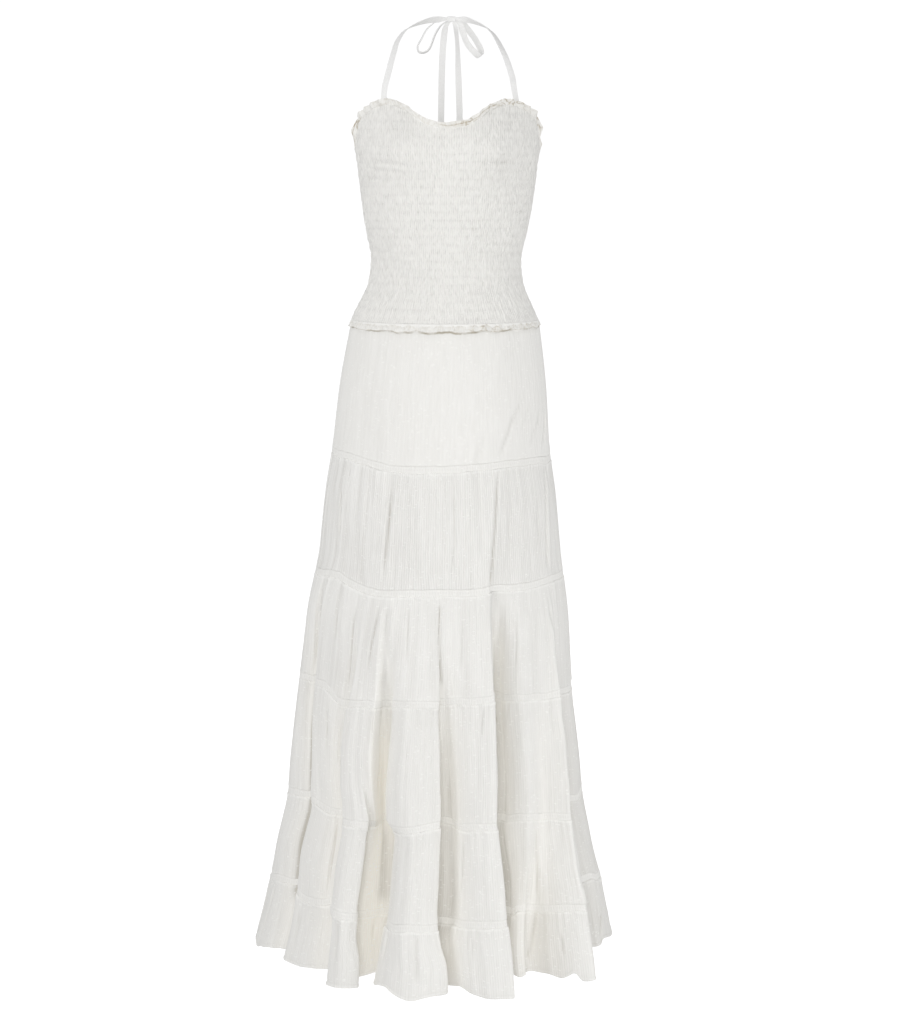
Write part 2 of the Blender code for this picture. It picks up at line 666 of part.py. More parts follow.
def strap_rows(side, rows):
    """A strap's whole route: its root inside the front panel, then the rows of its table."""
    angle = STRAP_ROOTS[side]
    wall = SMOCK_PUFF + SMOCK_WALL
    roots = []
    for height in STRAP_ROOT_ZS:
        inside = bodice_place(angle, height, -wall)
        seat = bodice_place(angle, height, -wall - STRAP_SEAT - RIBBON_THICK / 2)
        roots.append((*seat, height, inside[0] - seat[0], inside[1] - seat[1], 0.0))
    return (*roots, *((*row[:3], *(value * STRAP_SEAT for value in row[3:])) for row in rows))


def back_depth(across, height):
    """Depth of the back panel's outside at a place across and a height."""
    half_width, centre_x, _, _ = section(height)
    angle = 180.0 - math.degrees(math.asin((across - centre_x) / half_width))
    return bodice_place(angle, height, 0.0)[1]


def tail_rows(rows):
    """A tail's route, with its last rows laid against the outside of the back panel."""
    return [(row[0], back_depth(row[0], row[2]) + TAIL_CLEARANCE, *row[2:]) if row[1] is None else row
            for row in rows]


def add_knot():
    """The small soft-edged knot of the bow."""
    data = bmesh.new()
    bmesh.ops.create_cube(data, size=1.0)
    for vert in data.verts:
        vert.co = [centre + size * value for centre, size, value in zip(KNOT_CENTRE, KNOT_SIZE, vert.co)]
    bmesh.ops.bevel(data, geom=data.edges[:], offset=KNOT_ROUNDING, segments=2, profile=0.5,
                    affect="EDGES")
    return add_object("bow_knot", data, (0.84, 0.83, 0.81), 0.85)


# ---------------------------------------------------------------- the dress
def upper_columns():
    """Plain columns of the yoke and the first tier, which have no deep folds."""
    count = 2 * UPPER_COLUMNS
    return [(-90.0 + 360.0 * number / count, (0.0, 0.0), ()) for number in range(count)]


def rows_between(top, bottom, shares, set_back=0.0):
    """Rows at the given shares of the way from a top to a bottom, all set back alike."""
    return [(top + share * (bottom - top), set_back) for share in shares]


def build_skirt():
    """Yoke, lace bands, gathered tiers and hem ruffle, from the waist seam down."""
    plain = upper_columns()
    folded = skirt_columns()
    yoke_rows = rows_between(YOKE_TOP_Z, LACE_TOPS[0] + SEAM_GAP, YOKE_ROWS)
    yoke_rows[0] = (YOKE_TOP_Z, YOKE_TUCK)
    add_skirt_piece("yoke", plain, yoke_rows)
    bottoms = [top + SEAM_GAP for top in LACE_TOPS[1:]] + [HEM_Z]
    for number, (lace_top, bottom) in enumerate(zip(LACE_TOPS, bottoms), start=1):
        add_lace(f"lace_{number}", plain if lace_top > FOLDS_BEGIN_Z else folded, lace_top)
        name = f"tier_{number}" if bottom != HEM_Z else "hem_ruffle"
        rows = rows_between(lace_top - LACE_HEIGHT - SEAM_GAP, bottom, TIER_ROWS)
        add_skirt_piece(name, plain if bottom > FOLDS_BEGIN_Z else folded, rows)


def build_ties():
    """Halter straps, the bow at the nape and its two free tails."""
    left, right, down = (-1.0, 0.0, 0.0), (1.0, 0.0, 0.0), (0.0, 0.0, -1.0)
    add_ribbon("strap_left", strap_rows("left", LEFT_STRAP), end_way=right)
    add_ribbon("strap_right", strap_rows("right", RIGHT_STRAP), end_way=left)
    add_knot()
    add_ribbon("bow_loop_left", LEFT_LOOP, start_way=left, end_way=right)
    add_ribbon("bow_loop_right", RIGHT_LOOP, start_way=right, end_way=left)
    add_ribbon("tie_tail_left", tail_rows(LEFT_TAIL), start_way=down)
    add_ribbon("tie_tail_right", tail_rows(RIGHT_TAIL), start_way=down)


def clear_scene():
    """Remove whatever the scene holds."""
    for obj in list(bpy.data.objects):
        bpy.data.objects.remove(obj, do_unlink=True)


def main():
    """Build the whole dress."""
    clear_scene()
    for half in ("front", "back"):
        add_bodice(half)
    add_top_frill()
    add_hip_frill()
    build_skirt()
    build_ties()


main()
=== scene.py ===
"""Looks of a halter-neck maxi dress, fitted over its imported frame.

Metres, +Z up.  The front faces -Y, and left and right are those of someone who faces the dress.
Every cloth piece is a thin closed wall on the form that its solid has, worked out from the same
sizes, with the gathers, creases, rolled seams and smocking of the sewn garment.
"""

import logging
import math
from collections.abc import Callable, Iterable
from dataclasses import dataclass, field, replace
from enum import Enum

import bpy
import numpy as np
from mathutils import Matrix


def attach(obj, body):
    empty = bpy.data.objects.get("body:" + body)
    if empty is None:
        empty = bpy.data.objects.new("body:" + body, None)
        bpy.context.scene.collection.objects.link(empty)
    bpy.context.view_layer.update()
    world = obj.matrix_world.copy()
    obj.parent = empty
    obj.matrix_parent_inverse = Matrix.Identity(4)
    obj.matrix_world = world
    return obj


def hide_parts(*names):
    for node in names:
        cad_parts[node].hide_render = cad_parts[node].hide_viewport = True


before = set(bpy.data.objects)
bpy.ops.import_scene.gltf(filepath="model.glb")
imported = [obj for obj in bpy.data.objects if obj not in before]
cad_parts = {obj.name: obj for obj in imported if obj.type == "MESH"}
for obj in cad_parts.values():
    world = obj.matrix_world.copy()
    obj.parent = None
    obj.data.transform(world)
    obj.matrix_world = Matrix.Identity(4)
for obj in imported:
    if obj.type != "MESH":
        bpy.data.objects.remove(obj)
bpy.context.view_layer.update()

LOG = logging.getLogger("maxi_dress")
BODY = "root"

Array = np.ndarray
Grids = tuple[Array, Array]
Material = bpy.types.Material
Object = bpy.types.Object
Socket = bpy.types.NodeSocket
Colour = tuple[float, float, float]
Rows = tuple[tuple[float, ...], ...]

# ---------------- sizes shared by the pieces
MM = 0.001
AXIS_Y = -0.060  # the dress's upright axis lies in front of the nape
SEAM_GAP = 0.0003  # parting between pieces that are sewn together
LACE_HEIGHT = 0.0100
HIP_FRILL_HEIGHT = 0.0088
SMOCK_PUFF = 0.0017  # how far the cloth puffs out between two rows of elastic
SMOCK_PITCH = 0.0122  # from one row of elastic to the next
BODICE_BOTTOM_Z = -0.4600
YOKE_TOP_Z = BODICE_BOTTOM_Z - SEAM_GAP
LACE_TOPS = (-0.6670, -0.8550, -1.0300, -1.2075, -1.3500)
HEM_Z = -1.4590
LEFT_SEAM, RIGHT_SEAM = -90.0, 90.0  # degrees round the dress, from the centre front towards +X
BACK_SPACING = 1.4  # spacing of the back's mesh columns, against the front's
SHARP_DEGREES = 55.0  # edges that turn more than this stay sharp
TUCK_SHADE = 0.55  # painted shade: how much darker the cloth is at the bottom of a fold

# Sections of the dress, each an oval, in millimetres.
SECTIONS = (
    # z, half_width, centre_x, front, back
    (-100, 137, -3, 82, 92), (-130, 139, -3.2, 91, 98),
    (-160, 140.5, -3.6, 101, 104), (-200, 141.6, -4, 109, 108),
    (-226, 138.7, -4.2, 108, 107), (-276, 133.5, -4.4, 99, 101),
    (-322, 126, -4.8, 91, 93), (-352, 119, -6, 87, 89),
    (-372, 117, -6.7, 86, 89), (-406, 121, -6.8, 92, 98),
    (-434, 133, -7.4, 103, 110), (-460, 144.5, -7.9, 114, 121),
    (-483, 148.7, -8.5, 120, 127), (-567, 161, -11, 137, 146),
    (-667, 170, -13.5, 150, 152), (-734, 180.2, -14.2, 157, 158),
    (-848, 191.7, -15.5, 166, 165), (-928, 203.2, -18.5, 173, 173),
    (-1032, 212.4, -22, 181, 181), (-1162, 230.3, -24.7, 200, 199),
    (-1207, 234.7, -25, 207, 206), (-1291, 251.6, -25.3, 225, 223),
    (-1350, 264.4, -24, 240, 237), (-1459, 291.2, -26, 265, 262),
)

# Top edge of the bodice with its frill, from the centre front round to the centre back.
TOP_EDGE = (
    # degrees, millimetres
    (0, -163), (10, -159.5), (20, -147.5), (28, -134.5), (40, -127), (50, -130.5), (60, -138),
    (70, -147), (78, -159), (84, -177), (90, -196), (100, -204), (120, -208), (180, -210),
)


# ---------------- small tools
def ease(share: Array | float) -> Array:
    """Smooth step from 0 to 1, of shares that are held from 0 to 1."""
    held = np.clip(share, 0.0, 1.0)
    return held * held * (3.0 - 2.0 * held)


def bell(offset: Array, width: Array | float) -> Array:
    """A soft peak of 1 where the offset is 0, which fades within about twice the width."""
    return np.exp(-(offset / width) ** 2)


def hermite(share: Array, start: Array, leave: Array, end: Array, reach: Array) -> Array:
    """Point at a share of a curve that leaves its start and reaches its end at given slopes."""
    square, cube = share ** 2, share ** 3
    return ((2 * cube - 3 * square + 1) * start + (cube - 2 * square + share) * leave
            + (3 * square - 2 * cube) * end + (cube - square) * reach)


def run_along(points: Array) -> Array:
    """Distance of each point of a line from its first point, along the line."""
    return np.concatenate(([0.0], np.cumsum(np.linalg.norm(np.diff(points, axis=0), axis=1))))


def run_round(points: Array) -> Array:
    """The same for a row of points that closes round, with the length all round as last value."""
    return run_along(np.vstack((points, points[:1])))


def raised(plan: Array, levels: Array) -> Array:
    """Plan points joined with their heights."""
    return np.concatenate((plan, levels[..., None]), axis=-1)


def ways_out(along: Array) -> Array:
    """Outward unit ways in plan, from ways along rows that turn from the left over the front."""
    along = along / np.maximum(np.linalg.norm(along, axis=-1, keepdims=True), 1e-9)
    return np.stack((along[..., 1], -along[..., 0]), axis=-1)


def ring_ways(plan: Array) -> Array:
    """Outward unit ways of rows of plan points that close round."""
    return ways_out(np.roll(plan, -1, axis=1) - np.roll(plan, 1, axis=1))


def softened(values: Array, reach: int) -> Array:
    """Rows that close round, each value averaged with its neighbours within a reach of columns."""
    offsets = range(-reach, reach + 1)
    weights = np.array([math.cos(0.5 * math.pi * step / (reach + 1)) for step in offsets])
    weights /= weights.sum()
    return sum(weight * np.roll(values, step, axis=1) for step, weight in zip(offsets, weights))


def strongest(angles: Array, bands: Iterable[tuple[float, Array | float, Array]]) -> Array:
    """The strongest of several soft bands that run down the cloth.

    Args:
        angles: ring angle of each column.
        bands: ring angle of each band, with its reach and its strength at each row.

    Returns:
        A strength for each row and column.
    """
    made = 0.0
    for centre, reach, strength in bands:
        made = np.maximum(made, strength[:, None] * bell(angles - centre, np.reshape(reach, (-1, 1))))
    return made


def even_columns(line: Callable[[Array], Array], ends: tuple[float, float, float], spacing: float,
                 samples: int) -> tuple[Array, int]:
    """Places of mesh columns all round, evenly spaced along the cloth, with one at each side seam.

    Args:
        line: gives the plan points at places round the dress.
        ends: places of the left seam, the right seam and the left seam again.
        spacing: metres from one column to the next at the front.
        samples: number of places at which each half is measured.

    Returns:
        The places from the left seam, and the number of the one at the right seam.
    """
    halves = []
    for start, end, wider in ((ends[0], ends[1], 1.0), (ends[1], ends[2], BACK_SPACING)):
        fine = np.linspace(start, end, samples)
        length = run_along(line(fine))
        count = max(8, round(length[-1] / (spacing * wider)))
        halves.append(np.interp(np.linspace(0.0, length[-1], count + 1), length, fine)[:-1])
    return np.concatenate(halves), len(halves[0])


class SmoothTable:
    """Smooth curves, with no overshoot, through the columns of a short table."""

    def __init__(self, rows: Rows | Array) -> None:
        """Work out the slopes of every column, where the first rises or falls all the way."""
        data = np.array(rows, float)
        if data[0, 0] > data[-1, 0]:
            data = data[::-1]
        self.keys = data[:, 0]
        self.values = data[:, 1:]
        chords = np.diff(self.values, axis=0) / np.diff(self.keys)[:, None]
        before, after = chords[:-1], chords[1:]
        total = np.where(before * after > 0.0, before + after, 1.0)
        inner = np.where(before * after > 0.0, 2.0 * before * after / total, 0.0)
        self.slopes = np.vstack((chords[:1], inner, chords[-1:]))

    def at(self, positions: Array, column: int) -> Array:
        """Values of a column.

        Args:
            positions: places along the table's first column.
            column: number of the column, where 0 is the one after the first.

        Returns:
            The column's values, in the shape of the positions.
        """
        held = np.clip(positions, self.keys[0], self.keys[-1])
        low = np.clip(np.searchsorted(self.keys, held, side="right") - 1, 0, len(self.keys) - 2)
        span = self.keys[low + 1] - self.keys[low]
        value, slope = self.values[:, column], self.slopes[:, column]
        return hermite((held - self.keys[low]) / span, value[low], span * slope[low], value[low + 1],
                       span * slope[low + 1])


class Section:
    """The dress's plain oval section at every height."""

    table = SmoothTable(MM * np.array(SECTIONS))

    @classmethod
    def plan(cls, degrees: Array, heights: Array) -> Array:
        """Plan points of the oval.

        Args:
            degrees: places round the dress.
            heights: heights, in a shape that joins with the degrees' shape.

        Returns:
            Points across and along, in the last axis.
        """
        degrees, heights = np.broadcast_arrays(degrees, heights)
        turn = np.radians(degrees)
        out = np.cos(turn)
        depth = np.where(out > 0.0, cls.table.at(heights, 2), cls.table.at(heights, 3))
        across = cls.table.at(heights, 1) + cls.table.at(heights, 0) * np.sin(turn)
        return np.stack((across, AXIS_Y - depth * out), axis=-1)


def lattice_weights(places: Array, count: int, closed: bool) -> Array:
    """Weights of each point of a lattice at each place.

    Args:
        places: places counted in cells, from 0.
        count: number of lattice points.
        closed: whether the lattice closes round.

    Returns:
        A row for each place and a column for each lattice point.
    """
    table = np.zeros((len(places), count))
    first = np.floor(places).astype(int)
    share = places - first
    spread = ((1 - share) ** 3 / 6, (3 * share ** 3 - 6 * share ** 2 + 4) / 6,
              (-3 * share ** 3 + 3 * share ** 2 + 3 * share + 1) / 6, share ** 3 / 6)
    for step, weight in enumerate(spread):
        column = (first + step) % count if closed else np.clip(first + step, 0, count - 1)
        np.add.at(table, (np.arange(len(places)), column), weight)
    return table


@dataclass(frozen=True)
class Grid:
    """The columns and rows of cloth that closes round the dress, with smooth seeded noise."""

    across: Array  # places of its columns along the cloth
    down: Array  # places of its rows down the cloth
    around: float  # length of the cloth all round

    def noise(self, width: float, height: float, seed: int, size: float = 1.0) -> Array:
        """Noise over the cloth.

        Args:
            width: metres from one of its cells to the next along the cloth.
            height: the same down the cloth.
            seed: what the random numbers start from.
            size: greatest value.

        Returns:
            A value for each row and column.
        """
        count = max(4, round(self.around / width))
        places_across = self.across / self.around * count
        places_down = (self.down - self.down.min()) / height
        rows = int(places_down.max()) + 5
        lattice = np.random.default_rng(seed).uniform(-1.0, 1.0, (rows, count))
        left = lattice_weights(places_down, rows, closed=False)
        right = lattice_weights(places_across % count, count, closed=True)
        return 1.7 * size * (left @ lattice @ right.T)

    def ripple(self, width: float, seed: int, size: float = 1.0) -> Array:
        """Noise along the cloth alone, with a value for each column."""
        return replace(self, down=np.zeros(1)).noise(width, 1.0, seed, size)[0]


def ring_ripple(degrees: Array, width: float, seed: int, size: float) -> Array:
    """Noise round the dress alone, with a value for each of the degrees."""
    return Grid(degrees - LEFT_SEAM, np.zeros(1), 360.0).ripple(width, seed, size)


# ---------------- finishes
@dataclass(frozen=True)
class NodeMaker:
    """Adds nodes to a node tree."""

    tree: bpy.types.NodeTree

    def fill(self, node: bpy.types.Node, inputs: dict[str | int, object]) -> bpy.types.Node:
        """Link outputs to a node's inputs, or set their values.

        Args:
            node: the node.
            inputs: an output or a value for each named or numbered input.

        Returns:
            The same node.
        """
        for name, value in inputs.items():
            if isinstance(value, Socket):
                self.tree.links.new(value, node.inputs[name])
            else:
                node.inputs[name].default_value = value
        return node

    def add(self, kind: str, inputs: dict[str | int, object], **settings: object) -> bpy.types.Node:
        """Add a node.

        Args:
            kind: its type, without ShaderNode.
            inputs: an output or a value for each named or numbered input.
            settings: its other settings.

        Returns:
            The new node.
        """
        node = self.tree.nodes.new("ShaderNode" + kind)
        for name, value in settings.items():
            setattr(node, name, value)
        return self.fill(node, inputs)

    def wave(self, place: Socket, direction: str, pitch: float, wander: float) -> Socket:
        """Even bands across one direction, which wander a little."""
        return self.add("TexWave", {"Vector": place, "Scale": 0.314 / pitch, "Distortion": wander,
                                    "Detail": 2.0, "Detail Scale": 0.6},
                        wave_type="BANDS", bands_direction=direction).outputs["Fac"]

    def noise(self, place: Socket, scale: float, detail: float) -> Socket:
        """Soft noise, with so many cells to a unit."""
        inputs = {"Vector": place, "Scale": scale, "Detail": detail}
        return self.add("TexNoise", inputs).outputs["Fac"]

    def levelled(self, value: Socket, low: float, high: float) -> Socket:
        """A value spread out from 0 at low to 1 at high."""
        inputs = {"Value": value, "From Min": low, "From Max": high}
        return self.add("MapRange", inputs).outputs["Result"]

    def painted(self, mark: str) -> Socket:
        """Value of one of the mesh's own attributes."""
        return self.add("Attribute", {}, attribute_name=mark).outputs["Fac"]

    def total(self, parts: Iterable[tuple[Socket, float]], start: float = 0.0) -> Socket:
        """Add up outputs, each times its own weight.

        Args:
            parts: outputs with their weights.
            start: what the sum starts from.

        Returns:
            The output that holds the sum.
        """
        for output, weight in parts:
            start = self.add("Math", {0: output, 1: weight, 2: start}, operation="MULTIPLY_ADD").outputs[0]
        return start


class Weave(Enum):
    """How a finish's threads show."""

    GAUZE = "gauze"
    PLAIN = "plain"
    DIAGONAL = "diagonal"
    NET = "net"


@dataclass(frozen=True)
class CottonFinish:
    """A white cotton finish, whose pattern lies along and down the cloth in real metres.

    The cloth's own attributes take part: tone lightens or darkens it, with painted shade along its seams
    and creases, in hollows and under edges, and glow says how deep it lies between folds and sets a
    painted glow there, an emission for light that comes through thin cloth.
    """

    name: str
    light: Colour = (0.975, 0.966, 0.928)  # colour of the thread where it stands up
    shade: Colour = (0.780, 0.766, 0.725)  # colour between threads
    dark: Colour = (0.400, 0.360, 0.280)  # painted shade colour at the bottom of creases and under edges
    weave: Weave = Weave.GAUZE  # how the threads show
    pitch: float = 0.0012  # metres from one thread to the next
    rib: float = 0.0036  # metres from one crinkled rib down the cloth to the next
    streak: float = 0.0032  # width of the uneven crinkles
    rib_length: float = 0.035  # metres down the cloth over which a crinkle lasts
    evenness: float = 0.45  # share of the even ribs, against crinkles of uneven width
    rib_tone: float = 0.34  # how much the ribs show in colour
    relief: float = 0.00050  # height of the surface's pattern, in metres
    dots: float = 0.60  # strength of the small light slubs
    level: float = 0.62  # share of the light colour before any pattern
    glow: float = 0.0  # strength of the painted glow, an emission for light that comes through between folds
    sheen: float = 0.40  # strength of the soft bloom at grazing angles
    roughness: float = 0.92  # roughness of the surface

    # colour of the painted glow
    glow_colour = (1.0, 0.920, 0.76)
    diagonal = 38.0  # degrees that the threads of a diagonal weave are turned
    dot_cells = (88.0, 185.0)  # to a metre, across and down
    slub_cells = (150.0, 620.0)
    clouds_scale = 16.0

    def build(self) -> Material:
        """Make the material.

        Returns:
            The new material.
        """
        material = bpy.data.materials.new(self.name)
        material.use_nodes = True
        maker = NodeMaker(material.node_tree)
        cloth = maker.add("UVMap", {}, uv_map="cloth").outputs["UV"]

        def placed(across: float, down: float, degrees: float = 0.0) -> Socket:
            """The cloth's place, turned and stretched."""
            turn = (0.0, 0.0, math.radians(degrees))
            inputs = {"Vector": cloth, "Rotation": turn, "Scale": (across, down, 1.0)}
            return maker.add("Mapping", inputs).outputs["Vector"]

        turned = placed(1.0, 1.0, self.diagonal if self.weave is Weave.DIAGONAL else 0.0)
        threads = maker.add("Math", {number: maker.wave(turned, direction, self.pitch, 2.0)
                                     for number, direction in enumerate("XY")},
                            operation="MULTIPLY").outputs[0]
        ribs = maker.wave(placed(1.0, 0.012 / self.rib_length), "X", self.rib, 2.2)
        streaks = maker.noise(placed(1.0 / self.streak, 1.0 / self.rib_length), 1.0, 3.0)
        streaks = maker.levelled(streaks, 0.32, 0.68)
        slubs = maker.levelled(maker.noise(placed(*self.slub_cells), 1.0, 1.0), 0.66, 0.74)
        spots = maker.add("TexVoronoi", {"Vector": placed(*self.dot_cells), "Scale": 1.0})
        dots = maker.levelled(spots.outputs["Distance"], 0.24, 0.12)
        place = maker.add("TexCoord", {}).outputs["Object"]
        clouds = maker.noise(place, self.clouds_scale, 3.0)

        # Height of the cloth's surface: ribs, threads and slubs.
        even, uneven = 1.3 * self.evenness, 1.0 - self.evenness
        height = maker.total(((ribs, even), (streaks, uneven), (threads, 0.30), (dots, 0.9 * self.dots),
                              (slubs, 0.25)))
        bump = maker.add("Bump", {"Strength": 1.0, "Distance": self.relief, "Height": height})
        # Colour: greyer between ribs and threads and in slow clouds, lighter on slubs, with painted shade
        # and light from the mesh's tone attribute.
        tone = maker.total(
            ((ribs, even * self.rib_tone), (streaks, 1.3 * uneven * self.rib_tone), (threads, 0.16),
             (clouds, 0.30), (dots, self.dots), (slubs, 0.35 * self.dots), (maker.painted("tone"), 1.0)),
            self.level - 0.65 * self.rib_tone - 0.21)
        ramp = maker.add("ValToRGB", {0: maker.levelled(tone, -1.0, 1.0)})
        stops = ramp.color_ramp.elements
        stops[0].position, stops[0].color = 0.0, (*self.dark, 1.0)
        stops[1].position, stops[1].color = 1.0, (*self.light, 1.0)
        stops.new(0.5).color = (*self.shade, 1.0)
        inputs = {"Base Color": ramp.outputs[0], "Normal": bump.outputs["Normal"],
                  "Roughness": self.roughness, "Metallic": 0.0, "Specular IOR Level": 0.25,
                  "Sheen Weight": self.sheen, "Sheen Roughness": 0.6}
        # Painted glow: an emission where the cloth lies deep between folds.
        if self.glow:
            inputs["Emission Color"] = (*self.glow_colour, 1.0)
            inputs["Emission Strength"] = maker.total(((maker.painted("glow"), self.glow),))
        maker.fill(material.node_tree.nodes["Principled BSDF"], inputs)
        return material


FINISHES = {
    "smocked": CottonFinish(
        "smocked_cotton", light=(0.985, 0.972, 0.925), rib=0.0033, streak=0.0014, rib_length=0.010,
        evenness=0.38, rib_tone=1.30, relief=0.0009, dots=0.45, level=0.80),
    "frill": CottonFinish(
        "frill_cotton", shade=(0.770, 0.740, 0.670), dark=(0.440, 0.370, 0.260), rib=0.0024,
        streak=0.0016, rib_length=0.005, evenness=0.10, rib_tone=0.50, relief=0.0006, dots=0.25),
    "yoke": CottonFinish(
        "yoke_cotton", weave=Weave.DIAGONAL, pitch=0.0021, rib=0.0060, evenness=0.10, rib_tone=0.22,
        relief=0.0004, dots=0.40, level=0.55),
    "first_tier": CottonFinish(
        "first_tier_cotton", evenness=0.60, rib=0.0035, rib_tone=0.62, relief=0.0006, level=0.52),
    "tier": CottonFinish("tier_cotton", rib_tone=0.28, level=0.53, glow=0.10),
    "lace": CottonFinish(
        "lace_cotton", weave=Weave.NET, pitch=0.0015, rib=0.0030, rib_tone=0.20, relief=0.00035,
        level=0.58, glow=0.07),
    "tie": CottonFinish(
        "tie_cotton", (0.960, 0.958, 0.950), (0.800, 0.790, 0.770), weave=Weave.PLAIN, pitch=0.0013,
        rib=0.0018, streak=0.0012, rib_length=0.003, evenness=0.25, rib_tone=0.50, relief=0.00022,
        dots=0.20, level=0.80),
}


# ---------------- cloth meshes
def dress(obj: Object) -> None:
    """Attach a piece to the body, hide the solid that it replaces, and report it.

    Args:
        obj: the piece, named after the solid's node.
    """
    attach(obj, BODY)
    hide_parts(obj.name.removesuffix("_cloth"))
    LOG.info("%s: %d faces", obj.name, len(obj.data.polygons))


def add_mesh(name: str, points: Array, corners: Array, sizes: Array, places: Array,
             material: Material) -> Object:
    """Make an object from arrays, smooth but for its sharp edges.

    Args:
        name: the object's name.
        points: its points.
        corners: point number of every face's every corner.
        sizes: number of corners of every face.
        places: place on the cloth of every corner.
        material: its finish.

    Returns:
        The new object, whose faces point outwards.
    """
    mesh = bpy.data.meshes.new(name)
    mesh.vertices.add(len(points))
    mesh.vertices.foreach_set("co", points.astype(np.float32).ravel())
    mesh.loops.add(len(corners))
    mesh.loops.foreach_set("vertex_index", corners.astype(np.int32))
    mesh.polygons.add(len(sizes))
    mesh.polygons.foreach_set("loop_start", (np.cumsum(sizes) - sizes).astype(np.int32))
    mesh.update(calc_edges=True)
    layer = mesh.uv_layers.new(name="cloth")
    layer.data.foreach_set("uv", places.astype(np.float32).ravel())
    mesh.validate()
    mesh.materials.append(material)
    mesh.shade_smooth()
    mesh.set_sharp_from_angle(angle=math.radians(SHARP_DEGREES))
    obj = bpy.data.objects.new(name, mesh)
    bpy.context.scene.collection.objects.link(obj)
    return obj


def put_in_order(mesh: bpy.types.Mesh) -> None:
    """Number a mesh's points and faces by their places, since a bevel numbers them anew in each run.

    Args:
        mesh: the mesh, which keeps its shape.
    """
    points = [tuple(vertex.co) for vertex in mesh.vertices]
    order = sorted(range(len(points)), key=lambda number: [round(value, 5) for value in points[number]])
    faces = [[order.index(number) for number in face.vertices] for face in mesh.polygons]
    first = [face.index(min(face)) for face in faces]
    mesh.clear_geometry()
    mesh.from_pydata([points[number] for number in order], [],
                     sorted(face[start:] + face[:start] for face, start in zip(faces, first)))


def strip_faces(strips: Iterable[tuple[int, int, int, int, bool]], columns: int, closed: bool,
                across: Array, down: Array) -> Grids:
    """Faces between rows of points, with the place on the cloth of every corner.

    Args:
        strips: two rows of points, the rows that they lie at, and whether the faces' turn is reversed.
        columns: number of points in a row.
        closed: whether the rows close round.
        across: place of each column along the cloth.
        down: place of each row down the cloth.

    Returns:
        Corner numbers, four a face, and their places along and down the cloth.
    """
    near = np.arange(columns if closed else columns - 1)
    far = (near + 1) % columns
    faces, places = [], []
    for upper, lower, high, low, reverse in strips:
        corners = ((upper, near, 0, high), (upper, far, 1, high),
                   (lower, far, 1, low), (lower, near, 0, low))
        if reverse:
            corners = (corners[0], *corners[:0:-1])
        faces.append(np.stack([row * columns + column for row, column, _, _ in corners], axis=1))
        places.append(np.stack([np.stack((across[near + step], np.full(len(near), down[row])), axis=1)
                                for _, _, step, row in corners], axis=1))
    return np.concatenate(faces), np.concatenate(places)


@dataclass
class ClothWall:
    """A thin cloth wall between an outer and an inner grid of points."""

    outer: Array  # outer points, in rows down the cloth
    inner: Array  # inner points, with the same columns and only the rows named by kept
    # The outer row that each inner row lies behind, the first and last among them.
    kept: Array
    # Place of each column along the cloth, one more than the columns if it closes round.
    across: Array
    down: Array  # place of each outer row down the cloth
    marks: dict[str, Array]  # values of named attributes at the outer points
    closed: bool = True  # whether the wall closes round

    def halves(self, at_right: int) -> dict[str, "ClothWall"]:
        """Cut a wall that closes round at the side seams.

        Args:
            at_right: number of the column at the right seam.

        Returns:
            The walls of the front and the back.
        """
        count = self.outer.shape[1]
        made = {}
        for half, start, end, aside in (("front", 0, at_right, -0.5), ("back", at_right, count, 0.5)):
            run = np.arange(start, end + 1)
            grids = [grid[:, run % count] for grid in (self.outer, self.inner)]
            for grid in grids:
                grid[:, [0, -1], 1] += aside * SEAM_GAP
            marks = {name: values[:, run % count] for name, values in self.marks.items()}
            made[half] = ClothWall(*grids, self.kept, self.across[run], self.down, marks, closed=False)
        return made

    def quads(self) -> Grids:
        """Faces of both sides and both rims, with the place on the cloth of every corner.

        Returns:
            Corner numbers, four a face, and their places along and down the cloth.
        """
        rows, last, kept = len(self.outer), len(self.kept) - 1, self.kept
        strips = [(row, row + 1, row, row + 1, True) for row in range(rows - 1)]
        strips += [(rows + number, rows + number + 1, kept[number], kept[number + 1], False)
                   for number in range(last)]
        strips += [(0, rows, 0, 0, False), (rows - 1, rows + last, -1, -1, True)]
        return strip_faces(strips, self.outer.shape[1], self.closed, self.across, self.down)

    def side_faces(self) -> Array:
        """Triangles that close the two upright ends of an open wall.

        Returns:
            Corner numbers, three a face.
        """
        rows, columns = self.outer.shape[:2]
        faces = []
        for column, turned in ((0, True), (columns - 1, False)):
            for number in range(len(self.kept) - 1):
                inner = rows * columns + number * columns + column
                start, end = self.kept[number], self.kept[number + 1]
                strip = [(inner, row * columns + column, (row + 1) * columns + column)
                         for row in range(start, end)]
                strip.append((inner, end * columns + column, inner + columns))
                faces += [(a, c, b) if turned else (a, b, c) for a, b, c in strip]
        return np.array(faces)

    def build(self, node: str, material: Material) -> Object:
        """Make the wall's object.

        Args:
            node: the solid's node.
            material: its finish.

        Returns:
            The new object, at the origin.
        """
        points = np.concatenate((self.outer.reshape(-1, 3), self.inner.reshape(-1, 3)))
        faces, places = self.quads()
        corners, spots, sizes = [faces.ravel()], [places.reshape(-1, 2)], [np.full(len(faces), 4)]
        if not self.closed:
            ends = self.side_faces()
            corners.append(ends.ravel())
            spots.append(points[ends.ravel()][:, 1:])
            sizes.append(np.full(len(ends), 3))
        obj = add_mesh(f"{node}_cloth", points, *map(np.concatenate, (corners, sizes, spots)), material)
        for mark, values in self.marks.items():
            padded = np.zeros(len(points), np.float32)
            padded[:values.size] = values.ravel()
            obj.data.attributes.new(mark, "FLOAT", "POINT").data.foreach_set("value", padded)
        return obj


